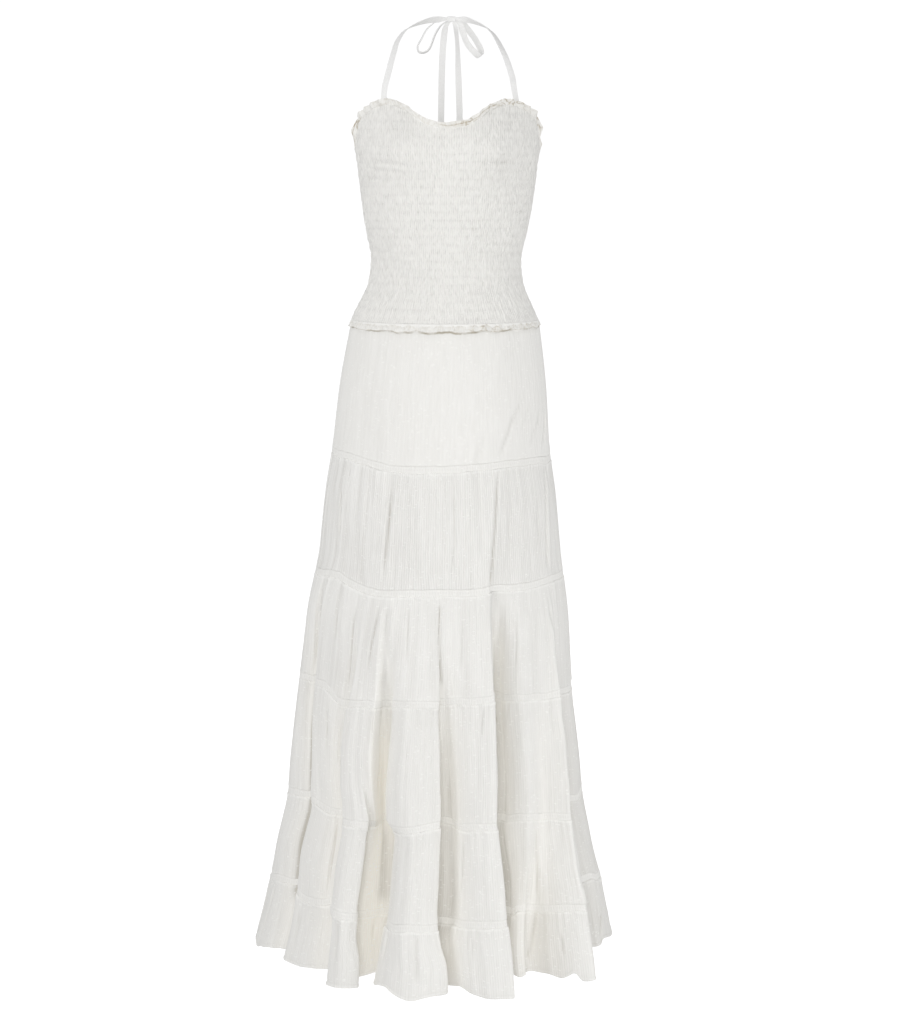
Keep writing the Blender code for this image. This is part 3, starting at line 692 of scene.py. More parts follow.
# ---------------- the folded skirt
@dataclass(frozen=True)
class Fold:
    """A deep fold of the skirt, as it is at the hem.

    It joins the panel before it, which ends at lip a, to the panel after it, which starts at lip b.
    The cloth between them is hidden, sunk inwards and tucked sideways.  Lips are measured from the
    section's centre: across, and out to the front.  The panel after it bulges outwards.
    """

    name: str
    degrees: float
    begin_z: float
    full_z: float
    a_x: float
    a_out: float
    b_x: float
    b_out: float
    sink: float
    tuck: float
    bulge: float

    def strength(self, heights: Array) -> Array:
        """Strength of the fold at heights, from 0 where it begins to 1 where it is full."""
        return ease((self.begin_z - heights) / (self.begin_z - self.full_z))

    def bottom(self) -> tuple[float, float]:
        """Place of its hidden bottom at the hem."""
        across, out = math.sin(math.radians(self.degrees)), math.cos(math.radians(self.degrees))
        return ((self.a_x + self.b_x) / 2 + self.tuck * out - self.sink * across,
                (self.a_out + self.b_out) / 2 - self.tuck * across - self.sink * out)


# Name, degrees and then the sizes of each fold in millimetres, as the class names them.
FOLDS = tuple(Fold(name, degrees, *(MM * size for size in sizes)) for name, degrees, *sizes in (
    ("left_side", -60, -830, -1050, -239, 45, -236, 94, 36, 6, 10),
    ("left_front", -38, -860, -1180, -163, 142, -163, 204, 32, 14, 14),
    ("left_recess", -28, -1100, -1320, -114, 220, -113, 169, 4, -24, 0),
    ("centre_left", -20, -900, -1220, -91, 152, -91, 204, 30, 16, 46),
    ("centre", 0, -880, -1200, 22, 252, 24, 208, 26, -22, 22),
    ("centre_right", 25, -820, -1020, 122, 263, 122, 163, 38, -18, 8),
    ("right_crease", 41, -1180, -1440, 142, 172, 155, 146, 8, 0, 12),
    ("right_front", 61, -860, -1200, 250, 187, 252, 36, 46, -13, 22),
    ("back_1", 112, -880, -1220, 281, -75, 247, -118, 34, -6, 10),
    ("back_2", 133, -950, -1280, 222, -168, 196, -180, 32, 4, 14),
    ("back_3", 153, -840, -1150, 150, -234, 122, -212, 36, -10, 18),
    ("back_4", 176, -920, -1240, 34, -264, 8, -230, 34, -4, 20),
    ("back_5", 201, -860, -1180, -92, -240, -118, -240, 36, 6, 16),
    ("back_6", 226, -940, -1260, -204, -188, -222, -158, 34, -4, 12),
    ("back_7", 252, -900, -1220, -274, -92, -283, -50, 32, 4, 25),
))
LIP_SPREAD = 2.4  # degrees between a lip and the middle of its fold, where it begins
TUCK_REACH = 1.5  # degrees over which the bottom of a fold is dark
BESIDE, BESIDE_REACH = 4.5, 3.5  # degrees aside of a fold where the cloth is set back

# How far both lips of the front folds stray sideways on their way down.
SWAYED = ("left_side", "left_front", "left_recess", "centre_left", "centre", "centre_right", "right_front")
SWAYS = (
    # z and then lips a and b of each fold, in millimetres
    (-830, 0, 0, 0, 0, 0, 0, 0, 0, 0, 0, 0, 0, 0, 0),
    (-900, -10, -10, 1, 1, 0, 0, 0, 0, 8, 0, -1, 3, 2, 2),
    (-960, -13, -13, -1, -1, 0, 0, 0, 0, 7, 0, -1, 7, 6, 4),
    (-1020, -15, -15, -8, -8, 0, 0, -3, 0, 4, -1, 0, 10, 10, 7),
    (-1060, -15, -15, -15, -15, 0, 0, -4, 0, 0, 0, 0, 10, 10, 7),
    (-1100, -12, -12, -17, -17, 0, 0, -5, 0, -2, 1, 0, 13, 12, 8),
    (-1150, -6, -6, -15, -15, 3, 3, -5, 0, -6, 4, -1, 14, 11, 8),
    (-1205, -2, -2, -7, -7, 7, 7, -3, 2, -8, 6, -4, 11, 9, 7),
    (-1228, 0, 0, -8, -8, 2, 5, 1, 17, -9, 7, -1, 5, 8, 6),
    (-1260, -2, -2, -10, -10, -3, 2, 2, 16, -10, 7, -1, 6, 8, 6),
    (-1300, -4, -4, -12, -12, -9, -1, 3, 15, -12, 7, -1, 9, 6, 5),
    (-1340, -1, -1, -12, -12, -13, -4, 3, 13, -16, 4, -3, 6, 5, 4),
    (-1380, 1, 1, -6, -6, -12, -3, 0, 7, -12, -6, -1, 3, 4, 3),
    (-1420, 2, 2, -4, -4, -3, 0, 0, 3, -2, -4, 0, 0, 3, 2),
    (-1459, 0, 0, -1, -1, 1, 0, 0, 0, 0, 0, 0, 0, 0, 0),
)

# Painted shade: dark wedges under the lips of the deepest folds.
RECESSES = (
    # degrees, widest reach in degrees, top_z, bottom_z, strength
    (-62.6, 2.6, -1.040, -1.390, 0.95),
    (-22.6, 1.1, -1.200, -1.352, 0.60),
    (2.8, 1.8, -1.080, -1.400, 0.50),
    (27.8, 2.0, -1.120, -1.400, 0.45),
    (114.6, 2.6, -1.060, -1.390, 0.60),
    (150.6, 2.6, -1.040, -1.390, 0.60),
    (203.4, 2.6, -1.050, -1.390, 0.60),
)

# Where the painted glow between the folds is stronger or weaker than elsewhere.
SPOTS = (
    # degrees, reach, extra share of painted glow
    (-23.0, 6.0, 0.90), (30.0, 7.0, -0.25), (64.0, 8.0, -0.95),
)


class SkirtForm:
    """Plan sections of the skirt from the waist seam to the hem, with its deep folds."""

    table = Section.table
    sways = SmoothTable(MM * np.array(SWAYS))

    def __init__(self) -> None:
        """Set out the columns that carry the folds, as ring angles with their places at the hem."""
        degrees, places, follow, strays = [], [], [], []

        def column(angle: float, place: tuple[float, float], shares: dict[int, float],
                   beside: dict[tuple[str, int], float]) -> None:
            """Add one column, which follows folds, and lips of folds, in the given shares."""
            degrees.append(angle)
            places.append(place)
            follow.append([shares.get(index, 0.0) for index in range(len(FOLDS))])
            strays.append([beside.get((name, lip), 0.0) for name in SWAYED for lip in "ab"])

        for index, fold in enumerate(FOLDS):
            after_index = (index + 1) % len(FOLDS)
            after = FOLDS[after_index]
            lip_a, lip_b = (fold.name, "a"), (fold.name, "b")
            column(fold.degrees - LIP_SPREAD, (fold.a_x, fold.a_out), {index: 1.0}, {lip_a: 1.0})
            column(fold.degrees, fold.bottom(), {index: 1.0}, {lip_a: 0.5, lip_b: 0.5})
            column(fold.degrees + LIP_SPREAD, (fold.b_x, fold.b_out), {index: 1.0}, {lip_b: 1.0})
            chord = (after.a_x - fold.b_x, after.a_out - fold.b_out)
            for angle, share in self.panel(fold, after):
                swell = 4.0 * share * (1.0 - share) * fold.bulge / math.hypot(*chord)
                column(angle, (fold.b_x + share * chord[0] - swell * chord[1],
                               fold.b_out + share * chord[1] + swell * chord[0]),
                       {index: 1.0 - share, after_index: share},
                       {lip_b: 1.0 - share, (after.name, "a"): share})
        self.degrees, self.places = np.array(degrees), np.array(places)
        self.follow, self.strays = np.array(follow), np.array(strays)
        self.count = len(degrees)
        self.left = float(degrees.index(LEFT_SEAM + 360.0))
        self.right = float(degrees.index(RIGHT_SEAM)) + self.count

    @staticmethod
    def panel(fold: Fold, after: Fold) -> list[tuple[float, float]]:
        """Columns of the panel between two folds.

        Args:
            fold: the fold before the panel.
            after: the fold after it.

        Returns:
            Ring angles, with their share of the way across the panel.
        """
        start = fold.degrees + LIP_SPREAD
        end = after.degrees - LIP_SPREAD
        if end < start:
            end += 360.0
        seams = [(seam - start) / (end - start) for seam in (RIGHT_SEAM, LEFT_SEAM + 360.0)
                 if start < seam < end]
        shares = (seams[0] * 0.5, seams[0], 0.5 + seams[0] * 0.5) if seams else (0.33, 0.67)
        return [(start + share * (end - start), share) for share in shares]

    def controls(self, heights: Array) -> Array:
        """Plan points of the columns.

        Args:
            heights: heights of the rows.

        Returns:
            A row for each height, with a plan point for each column.
        """
        level, hem = heights[:, None], np.array([HEM_Z])
        wide, front, back = (self.table.at(level, column) / self.table.at(hem, column)
                             for column in (0, 2, 3))
        deep = np.where(self.places[:, 1] > 0.0, front, back)
        folded = np.stack((self.table.at(level, 1) + self.places[:, 0] * wide,
                           AXIS_Y - self.places[:, 1] * deep), axis=-1)
        strengths = np.stack([fold.strength(heights) for fold in FOLDS], axis=1)
        plain = Section.plan(self.degrees[None, :], level)
        made = plain + (strengths @ self.follow.T)[..., None] * (folded - plain)
        lips = [self.sways.at(heights, number) for number in range(self.strays.shape[1])]
        sideways = np.stack(lips, axis=1) @ self.strays.T
        made += np.stack((sideways, sideways * np.tan(np.radians(self.degrees) / 2)), axis=-1)
        return made

    @staticmethod
    def tucks(angles: Array, heights: Array) -> Array:
        """How near the cloth of each row and column lies to the bottom of a fold, where it gets painted
        shade.
        """
        return strongest(angles, [(fold.degrees, TUCK_REACH, fold.strength(heights)) for fold in FOLDS])

    @staticmethod
    def beside(angles: Array, heights: Array) -> Array:
        """How near the cloth lies to a fold, on the side where it is set back."""
        sides = [BESIDE if fold.a_out > fold.b_out else -BESIDE for fold in FOLDS]
        return strongest(angles, [(fold.degrees + side, BESIDE_REACH, fold.strength(heights))
                                  for fold, side in zip(FOLDS, sides)])

    @staticmethod
    def recesses(angles: Array, heights: Array) -> Array:
        """Strength of the painted shade under the lips of the deepest folds, in wedges that widen
        downwards.

        Args:
            angles: ring angle of each column.
            heights: height of each row.

        Returns:
            A share from 0 to 1 for each row and column.
        """
        bands = []
        for lip, reach, top, bottom, strength in RECESSES:
            down = np.clip((top - heights) / (top - bottom), 0.0, 1.0)
            fade = ease(3.0 * down) * ease((heights - bottom) / 0.030)
            bands.append((lip, 0.3 + reach * down, strength * fade))
        return strongest(angles, bands)

    @staticmethod
    def glow(hollow: Array, tucked: Array, angles: Array) -> Array:
        """Strength of the painted glow, for light that comes through the cloth between folds.

        Args:
            hollow: how deep the cloth lies between its folds.
            tucked: how near it lies to the bottom of a fold.
            angles: ring angle of each column.

        Returns:
            A share for each row and column.
        """
        lit = 1.0 + sum(extra * bell(angles - angle, reach) for angle, reach, extra in SPOTS)
        return hollow * (1.0 - 0.75 * tucked) * lit

    def hollows(self, plan: Array, heights: Array) -> Array:
        """How deep the cloth lies between its folds.

        Args:
            plan: plan points of each row.
            heights: heights of the rows.

        Returns:
            A share from 0 on the folds to 1 between deep folds, for each point.
        """
        reach, blur = 13, 6  # degrees to each side
        deep_from, deep_over = 0.010, 0.050
        ring = np.arange(-180, 180)
        oval = Section.plan(ring[None, :].astype(float), heights[:, None])
        shares = np.zeros(plan.shape[:2])
        for row, centre_x in enumerate(self.table.at(heights, 1)):
            turns, sizes = [], []
            for points in (oval[row], plan[row]):
                offset = points - (centre_x, AXIS_Y)
                turns.append(np.degrees(np.arctan2(offset[:, 0], -offset[:, 1])))
                sizes.append(np.linalg.norm(offset, axis=1))
            order = np.argsort(turns[0])
            excess = sizes[1] - np.interp(turns[1], turns[0][order], sizes[0][order], period=360.0)
            furthest = np.full(360, -1.0)
            np.maximum.at(furthest, np.floor(turns[1] + 180.0).astype(int) % 360, excess)
            hull = np.max([np.roll(furthest, step) for step in range(-reach, reach + 1)], axis=0)
            hull = sum(np.roll(hull, step) for step in range(-blur, blur + 1)) / (2 * blur + 1)
            below = np.interp(turns[1], ring + 0.5, hull, period=360.0) - excess
            shares[row] = ease((below - deep_from) / deep_over)
        return softened(shares, 3)

    def plan(self, stations: Array, heights: Array) -> Array:
        """Plan points on smooth curves through the columns.

        Args:
            stations: places counted in columns.
            heights: heights of the rows.

        Returns:
            A row for each height, with a plan point for each station.
        """
        controls = self.controls(heights)
        index = np.floor(stations).astype(int)
        before, start, end, after = (controls[:, (index + step) % self.count] for step in (-1, 0, 1, 2))
        first, span, last = (np.sqrt(np.linalg.norm(b - a, axis=-1, keepdims=True)) + 1e-5
                             for a, b in ((before, start), (start, end), (end, after)))
        chord = (end - start) / span
        leave = ((start - before) / first - (end - before) / (first + span) + chord) * span
        reach = (chord - (after - start) / (span + last) + (after - end) / last) * span
        return hermite((stations - index)[None, :, None], start, leave, end, reach)

    def stations(self, height: float, spacing: float) -> tuple[Array, int]:
        """Even mesh columns all round at a height, and the number of the one at the right seam."""
        return even_columns(lambda fine: self.plan(fine, np.array([height]))[0],
                            (self.left, self.right, self.left + self.count), spacing, 4001)

    def angle(self, stations: Array) -> Array:
        """Ring angle of stations, which rises from the left seam round to the left seam again."""
        spots = np.arange(-self.count, 2 * self.count)
        degrees = np.concatenate([self.degrees + turn for turn in (-360.0, 0.0, 360.0)])
        return np.interp(stations, spots, degrees) - 360.0


# How far the upper edge of each lace band, and the hem, lies above its even height round the front.
EDGE_RISES = (
    # degrees and millimetres, in turn
    (-92, 9, -68, 10, -56, 9.9, -48, 5.4, -40, 2.1, -32, -1.6, -20, -5.3, -8, -3.5, 8, -3.9, 16, -1.6, 24,
     0.4, 52, 1.6, 64, 0, 76, -1.9, 92, -2),
    (-92, 10, -72, 12, -64, 14.4, -52, 14.6, -48, 9.3, -40, 2, -32, -3.4, -28, -5.5, -20, -2.6, -12, -0.6,
     8, -1, 20, 0.8, 28, 3.6, 36, 1.1, 44, 2.4, 52, 4.4, 60, 6.4, 76, 5.2, 92, 4),
    (-92, 10, -79, 13.2, -72, 12.4, -65, 9.1, -58, 14, -52, 14, -48, 6, -44, -6, -41, -8, -35, -1, -28, 2,
     -21, -1.5, -16, 3.6, -10, 6.4, -2, 4.5, 8, 8.7, 16, 11.7, 20, 15, 23, 17, 25.5, 10, 28, 2.5, 36, 7.7,
     44, 6.6, 52, 3.3, 59, 7.6, 63, 0, 68, -5, 78, -7, 92, -5),
    (-92, 0, -80, 2.2, -72, 4, -65, 3, -58, 9, -52, 3.6, -44, -4.2, -35, -4, -28, -6, -24, -8, -15, -6, -8,
     -0.8, -4, 3, 2, -2, 8, -4, 16, 1, 23, 2, 28, -6, 32, -0.2, 36, 4.8, 40, 4.3, 48, -3, 56, -3.6, 60, -2,
     68, -8, 76, -10, 84, -3, 92, -2),
    (-92, -2, -84, 0.7, -76, 6, -65, 3.2, -58, 7, -52, -1.6, -44, -2, -37, 6, -32, 2, -26, -10, -22, -10,
     -14, -4.8, -8, 0, -4, -4, 2, -10, 8, -4, 16, 1, 23, 3, 28, -8, 32, -5, 36, 3, 44, -3, 52, 2.8, 57, 6,
     63, 5, 72, 6.6, 80, 0, 92, -3),
    (-92, -5, -87, -10, -80, -7, -74, -5, -68, -2, -64, 1, -57, 1.5, -51, -3, -44, -1, -37, 2, -32, 2.5,
     -25, -1, -20, 2, -16, 5, -14.7, 10, -13, 12.5, -11.8, 8, -10.4, 3, -7.5, -3, -4.6, 2, 0, -1, 2.9, -2,
     6, 2, 7.6, 5.2, 9.1, 4.5, 12, -0.5, 16.7, -3.5, 20, -1.6, 22.6, -2.6, 30, 0.4, 36, 0.8, 38, 3.4, 41.9,
     0, 45, -2, 47.9, 0, 50.9, -3, 52.5, 1.6, 54, 7.9, 55.6, -2.2, 58.6, 1, 68.5, -3, 71.5, -1, 73.1, 7,
     77.8, 3.6, 83.8, -0.7, 92, -2),
)


def frill_edge(degrees: Array) -> Array:
    """Height of the hip frill's wavy free edge below its root, for each place round the dress."""
    lower = 0.0030 * ease(np.cos(np.radians(degrees)))
    return (HIP_FRILL_HEIGHT + lower + ring_ripple(degrees, 5.0, 641, 0.0018)
            + ring_ripple(degrees, 1.7, 642, 0.0009))


def seam_wave(angles: Array, number: int, side: int) -> Array:
    """How far a sewn edge lies above its even height, with a like edge at the back.

    Args:
        angles: ring angles, from the left seam.
        number: number of the lace band, from the top, or one more for the hem.
        side: 0 for the band's upper edge, 1 for its lower edge.

    Returns:
        A height for each angle.
    """
    broad, small = (0.0024, 0.0009) if number > len(LACE_TOPS) else (0.0013, 0.0006)
    table = SmoothTable(np.reshape(EDGE_RISES[number - 1], (-1, 2)))
    front = table.at(angles, 0)
    back = table.at(178.0 - 0.98 * angles + 4.0 * np.sin(np.radians(3.0 * angles)), 0)
    share = ease((angles - 84.0) / 12.0) * ease((276.0 - angles) / 12.0)
    stray = ring_ripple(angles, 7.0, 950 + number, broad)
    stray += ring_ripple(angles, 2.4, 900 + 2 * number + side, small)
    return stray + MM * (front * (1.0 - share) + 0.8 * back * share)


@dataclass(frozen=True)
class Crease:
    """A soft trough or ridge down the cloth, placed one by one."""

    # How deep it is at its deepest, or how high where it is below 0, in millimetres.
    depth: float
    width: float  # half the width of its trough, in millimetres
    fade: float  # share of its length over which each end fades out
    shade: float  # strength of the painted shade at its bottom
    # Its route, as degrees round the skirt and millimetres up, from its top.
    way: Array

    def behind(self, number: int) -> "Crease":
        """A similar crease at the back.

        Args:
            number: the crease's number, from which its own place comes.

        Returns:
            The crease, at the other side of the side seams.
        """
        way = self.way.copy()
        way[:, 0] = np.clip(180.0 - 0.97 * way[:, 0] + 9.0 * math.sin(2.4 * number + 0.7), 92.0, 268.0)
        return Crease(self.depth * (0.85 + 0.25 * math.sin(1.7 * number)), self.width * 1.15, self.fade,
                      self.shade, way)

    def relief(self, angles: Array, across: Array, heights: Array) -> Grids | None:
        """The crease on a grid.

        Args:
            angles: ring angle of each column.
            across: place of each column along the cloth.
            heights: height of each row.

        Returns:
            Movement outwards and change of tone for each row and column, or nothing where it is elsewhere.
        """
        level, turn = MM * self.way[::-1, 1], self.way[::-1, 0]
        if heights.min() > level[-1] or heights.max() < level[0]:
            return None
        middle = np.interp(np.interp(heights, level, turn), angles, across)
        share = (level[-1] - heights) / (level[-1] - level[0])
        inside = (ease(share / self.fade) * ease((1.0 - share) / self.fade))[:, None]
        offset = (across[None, :] - middle[:, None]) / (MM * self.width)
        profile = bell(offset, 1.0) - 0.30 * bell(np.abs(offset) - 2.1, 0.9)
        return -MM * self.depth * inside * profile, -self.shade * inside * bell(offset, 0.75)


# Depth, width, fade and shade of each crease, then the degrees and millimetres of its way in turn.
CREASES = tuple(Crease(*row[:4], np.reshape(row[4:], (-1, 2))) for row in (
    (-1.4, 3.5, 0.35, 0, 51.9, -475, 43.2, -489, 35.8, -502, 31.3, -517, 27.8, -535),
    (1.2, 4, 0.4, 0.12, 57.7, -481, 47.8, -496, 39.9, -511, 34.5, -526),
    (2.6, 2.6, 0.3, 0.48, 53.5, -569, 47.9, -579, 43.8, -593, 39.9, -608, 37.7, -623, 35, -639, 32.3, -652,
     30.3, -664),
    (2.2, 2.5, 0.35, 0.4, 69, -587, 65, -603, 61.5, -618, 56.5, -633, 51.4, -652),
    (2.2, 3, 0.35, 0.4, 75.3, -590, 73.1, -621, 69.6, -642, 63.6, -660),
    (2.2, 4.2, 0.25, 0.19, 24.8, -612, 22.5, -630, 20.6, -645, 19.1, -661, 18.7, -679, 18.8, -710, 19.1,
     -744, 19.5, -789, 19.5, -834),
    (1.4, 2.2, 0.4, 0.24, 58.3, -576, 52.8, -593, 48.1, -614, 44.1, -633),
    (3.6, 2.6, 0.3, 0.64, -25, -684, -24.7, -711, -25.3, -746, -25.8, -780, -26.5, -813, -26.8, -849),
    (1.8, 4.5, 0.4, 0.12, -1.8, -717, -2.8, -757, -3.6, -795, -4.2, -837),
    (2, 1.9, 0.2, 0.38, 6.7, -692, 6.5, -720, 6.6, -753, 6.6, -787, 5.9, -818, 4.7, -843),
    (4, 2.6, 0.15, 0.8, 30.2, -672, 28.7, -708, 27.5, -741, 26.3, -780, 24.9, -813, 23.9, -851,
     23.4, -873),
    (1.4, 3, 0.4, 0.16, 36.5, -722, 34.8, -754, 33.6, -796, 32.2, -836),
    (1.7, 2, 0.3, 0.56, -60, -704, -57.4, -738, -55.6, -774, -54.8, -807),
    (4.3, 4.5, 0.2, 0.38, 69.4, -682, 68, -707, 64.6, -741, 62.1, -781, 60.5, -825, 59.6, -855),
    (1.2, 2.5, 0.4, 0.16, 56.4, -713, 53.9, -760, 52.7, -808),
    (1.2, 2, 0.3, 0.32, -54.6, -675, -52.7, -699, -50.2, -729),
    (-1.2, 5, 0.35, 0, -41.1, -687, -40.4, -726, -40, -778, -39.1, -836),
    (-1.2, 3.5, 0.35, 0, 4.1, -692, 3.5, -720, 3, -750, 2.7, -780),
    (-0.9, 5, 0.35, 0, -10.3, -692, -9.3, -737, -9.3, -789, -9.6, -834),
    (3.6, 2, 0.2, 0.8, -62.8, -860, -62.8, -892, -63.4, -921, -63, -984, -63.2, -1026),
    (2.8, 2, 0.2, 0.64, -39, -876, -40.5, -918, -40.7, -986, -41, -1024),
    (3.5, 5, 0.15, 0.19, -23.3, -873, -23.2, -925, -22.7, -978, -22.6, -1026),
    (3.1, 2, 0.15, 0.8, -1.9, -866, -1.2, -948, 1.2, -1000, -2, -1020),
    (1.6, 2, 0.3, 0.4, 10.7, -880, 10.1, -939, 9.6, -999),
    (1.6, 2, 0.3, 0.4, 37, -885, 36.4, -947, 35.9, -1006),
    (2.6, 2, 0.25, 0.72, -27.2, -877, -27.7, -901, -29, -939, -30.2, -990),
    (1.9, 1.9, 0.25, 0.56, -14, -873, -13.5, -924, -13.2, -974),
    (1.9, 2.2, 0.3, 0.4, -49.6, -892, -48.5, -930, -48.6, -963),
    (2.8, 2.2, 0.1, 0.64, 23.4, -873, 23, -925, 22.8, -962, 22.8, -998, 23, -1020),
    (3.4, 4, 0.15, 0.31, 57.9, -886, 58.1, -913, 59.4, -941, 58.8, -971, 59, -1016, 58.8, -1035),
    (2.5, 2, 0.2, 0.64, -57.6, -1060, -57.3, -1110, -57.3, -1152, -57.1, -1183),
    (2.3, 2, 0.2, 0.48, -40.5, -1059, -41.2, -1080, -41.5, -1128, -35.5, -1157),
    (3.5, 5, 0.15, 0.19, -22.6, -1040, -23, -1063, -23.1, -1131, -23.8, -1175),
    (2.3, 2.2, 0.15, 0.64, -2.1, -1032, -2.3, -1105, -2.1, -1177),
    (2, 1.9, 0.25, 0.56, -48.8, -1058, -47.7, -1098, -47.5, -1129),
    (1.4, 1.8, 0.3, 0.48, -26.4, -1042, -25.7, -1083),
    (1.4, 1.8, 0.3, 0.48, 33.4, -1040, 32.2, -1073),
    (1.6, 1.8, 0.25, 0.48, 18.7, -1041, 18.1, -1067, 17.7, -1091),
    (1.2, 1.7, 0.3, 0.4, -4.7, -1035, -4.5, -1054),
    (2.3, 2.2, 0.1, 0.56, 22.9, -1035, 26.8, -1071, 22.7, -1116, 22.8, -1177),
    (3, 3.5, 0.2, 0.31, 58.9, -1059, 58.9, -1097, 58.8, -1134, 58.6, -1165),
    (2.9, 2.2, 0.2, 0.64, -42.8, -1216, -42.2, -1246, -41.7, -1272, -41.6, -1292, -42.1, -1325,
     -42.4, -1341),
    (2, 2.1, 0.3, 0.48, 10.4, -1221, 8.8, -1284, 7.3, -1323),
    (2.6, 2.5, 0.2, 0.56, 43.1, -1221, 43.6, -1262, 44.3, -1302, 44.4, -1345),
    (2.8, 3, 0.2, 0.4, 58.8, -1236, 58.5, -1274, 58.7, -1311, 58.7, -1333),
    (2.6, 3.2, 0.2, 0.31, -79.8, -1365, -81.2, -1391, -82.4, -1410, -83.3, -1433, -83.7, -1455),
    (2.3, 3, 0.25, 0.31, -54, -1381, -53.8, -1405, -54.4, -1427),
    (2.3, 3.2, 0.25, 0.26, -33.4, -1347, -33.7, -1392, -34.2, -1428),
    (2.1, 2.8, 0.25, 0.31, -23.4, -1369, -23.5, -1386, -23.5, -1405),
    (2.5, 3.5, 0.25, 0.31, -14.3, -1365, -14.5, -1397, -14.9, -1422),
    (2.6, 3.2, 0.2, 0.31, -6.2, -1362, -6.8, -1399, -7.1, -1437),
    (1.8, 2.7, 0.3, 0.26, 13.5, -1373, 13.1, -1386, 12.7, -1403),
    (3.2, 3.8, 0.15, 0.35, 44.5, -1362, 44.3, -1383, 43.5, -1415, 42.2, -1444),
    (2.1, 2.8, 0.3, 0.31, 51.5, -1392, 51.8, -1407, 51.7, -1428),
    (2.1, 2.7, 0.25, 0.31, 75.5, -1415, 73.5, -1429, 71.9, -1446),
))


@dataclass
class SkirtPiece:
    """One gathered width of the skirt, all round, cut into a front and a back at the side seams."""

    name: str
    top: float  # height of its upper edge
    bottom: float  # height of its lower edge
    flat_height: float  # height of the cut strip
    # Number of the lace band at its lower edge, from the top, or one more at the hem.
    number: int
    fullness: float = 1.25  # cut width for each metre of gathered width
    spacing: float = 0.0013  # metres between mesh columns
    rows: int = 16  # number of rows between the finely spaced ones at its edges
    gather_top: float = 0.0011  # depth of the gathers under its upper seam
    gather_bottom: float = 0.0006  # depth of the gathers above its lower seam
    crinkle: float = 1.0  # strength of its fine relief
    seed: int = 1
    wall: float = 0.0010  # thickness of the cloth
    hem: bool = False  # whether its lower edge is the hem

    edge_rows = (0.0, 0.0009, 0.0020, 0.0033, 0.0050, 0.0080, 0.0125)
    crease_depth = 0.92
    rib_shade = 0.09
    rim, hem_groove, hem_line = 0.0022, 0.0055, 0.0025  # distances from an edge

    def heights(self) -> Array:
        """Heights of the rows, close together at the seams.

        Returns:
            The heights, from the top.
        """
        edge = np.array(self.edge_rows)
        if self.number == 1:
            under_frill = self.top - np.arange(0.0072, 0.0190, 0.0009)
            upper = np.concatenate((self.top - np.array((0.0, 0.002, 0.005)), under_frill))
            middle = np.linspace(upper[-1], self.bottom + edge[-1], self.rows + 1)[1:-1]
        else:
            upper = self.top - edge
            middle = np.linspace(upper[-1], self.bottom + edge[-1], self.rows + 2)[1:-1]
        return np.concatenate((upper, middle, (self.bottom + edge)[::-1]))

    @staticmethod
    def gathers(grid: Grid, depth: Array, size: float, seed: int) -> Array:
        """Small gathers that start at a seam and run out into the cloth.

        Args:
            grid: the cloth's grid.
            depth: distance of each row from the seam.
            size: depth of the gathers at the seam.
            seed: what the random numbers start from.

        Returns:
            Movement outwards for each row and column.
        """
        reach = np.maximum(0.020 + 0.012 * grid.ripple(0.012, seed + 2), 0.006)
        far = depth[:, None] / reach
        return (grid.ripple(0.0036, seed, size) * np.exp(-far)
                + grid.ripple(0.0090, seed + 1, size * 1.3) * np.exp(-(far / 2.2) ** 1.5))

    def relief(self, angles: Array, across: Array, heights: Array) -> Grids:
        """Everything that the sewn cloth adds to the plain form.

        Args:
            angles: ring angle of each column.
            across: their places along the cloth, and the length all round.
            heights: the rows.

        Returns:
            Movement outwards and change of tone for each row and column.
        """
        down, up = self.top - heights, heights - self.bottom
        grid = Grid(across[:-1], down, across[-1])
        fine, ribs, folds, waves = (
            grid.noise(width, height, self.seed + 10 + number)
            for number, (width, height) in enumerate(((0.0020, 0.060), (0.0042, 0.070), (0.012, 0.080),
                                                      (0.040, 0.110))))
        total = self.crinkle * (0.00024 * fine + 0.00034 * ribs + 0.00075 * folds + 0.0015 * waves)
        # The crinkle's ribs get painted shade and light, strongest high up at the left, where the light
        # grazes them.
        grazed = 2.6 * ease((-24.0 - angles) / 20.0) * ease((angles + 100.0) / 10.0)
        grazed = 1.1 + ease((heights + 1.25) / 0.45)[:, None] * grazed
        tone = self.rib_shade * (fine + ribs) * grazed * min(1.0, self.crinkle)
        if self.gather_top:
            total += self.gathers(grid, down, self.gather_top, self.seed + 20)
        if self.gather_bottom:
            total += self.gathers(grid, up, self.gather_bottom, self.seed + 30)
        # Creases, with painted shade at their bottoms.
        for number, crease in enumerate(CREASES):
            for placed in (crease, crease.behind(number)):
                made = placed.relief(angles, grid.across, heights)
                if made is not None:
                    total += self.crease_depth * made[0]
                    tone += (1.05 if 1 < self.number < 6 else 1.35) * made[1]
        if self.number == 1:
            # Painted shadow of the hip frill's free edge on the yoke's top.
            below = down[:, None] - frill_edge(angles)[None, :]
            patchy = 0.55 + 0.95 * grid.ripple(0.013, self.seed + 50)
            tone -= 1.9 * patchy * bell(below - 0.0012, 0.0013) + 0.25 * bell(below - 0.004, 0.0030)
        total *= (1.0 - 0.80 * bell(down, self.rim) - 0.80 * bell(up, self.rim))[:, None]
        # Gathered heads stand in a beaded rim under the seam above, and a plain fold over the lower one.
        # The rim is lighter, with a line of painted shade right under the seam above.
        heads = 0.5 + 0.5 * grid.ripple(0.0019, self.seed + 40)
        beads = 0.5 + 0.5 * grid.ripple(0.0015, self.seed + 41)
        rim = bell(down - self.rim, 0.0014)[:, None]
        total += 0.0013 * rim * heads
        tone += 0.60 * rim * (0.3 + heads) - 0.15 * bell(down, 0.0008)[:, None] * beads
        if self.hem:
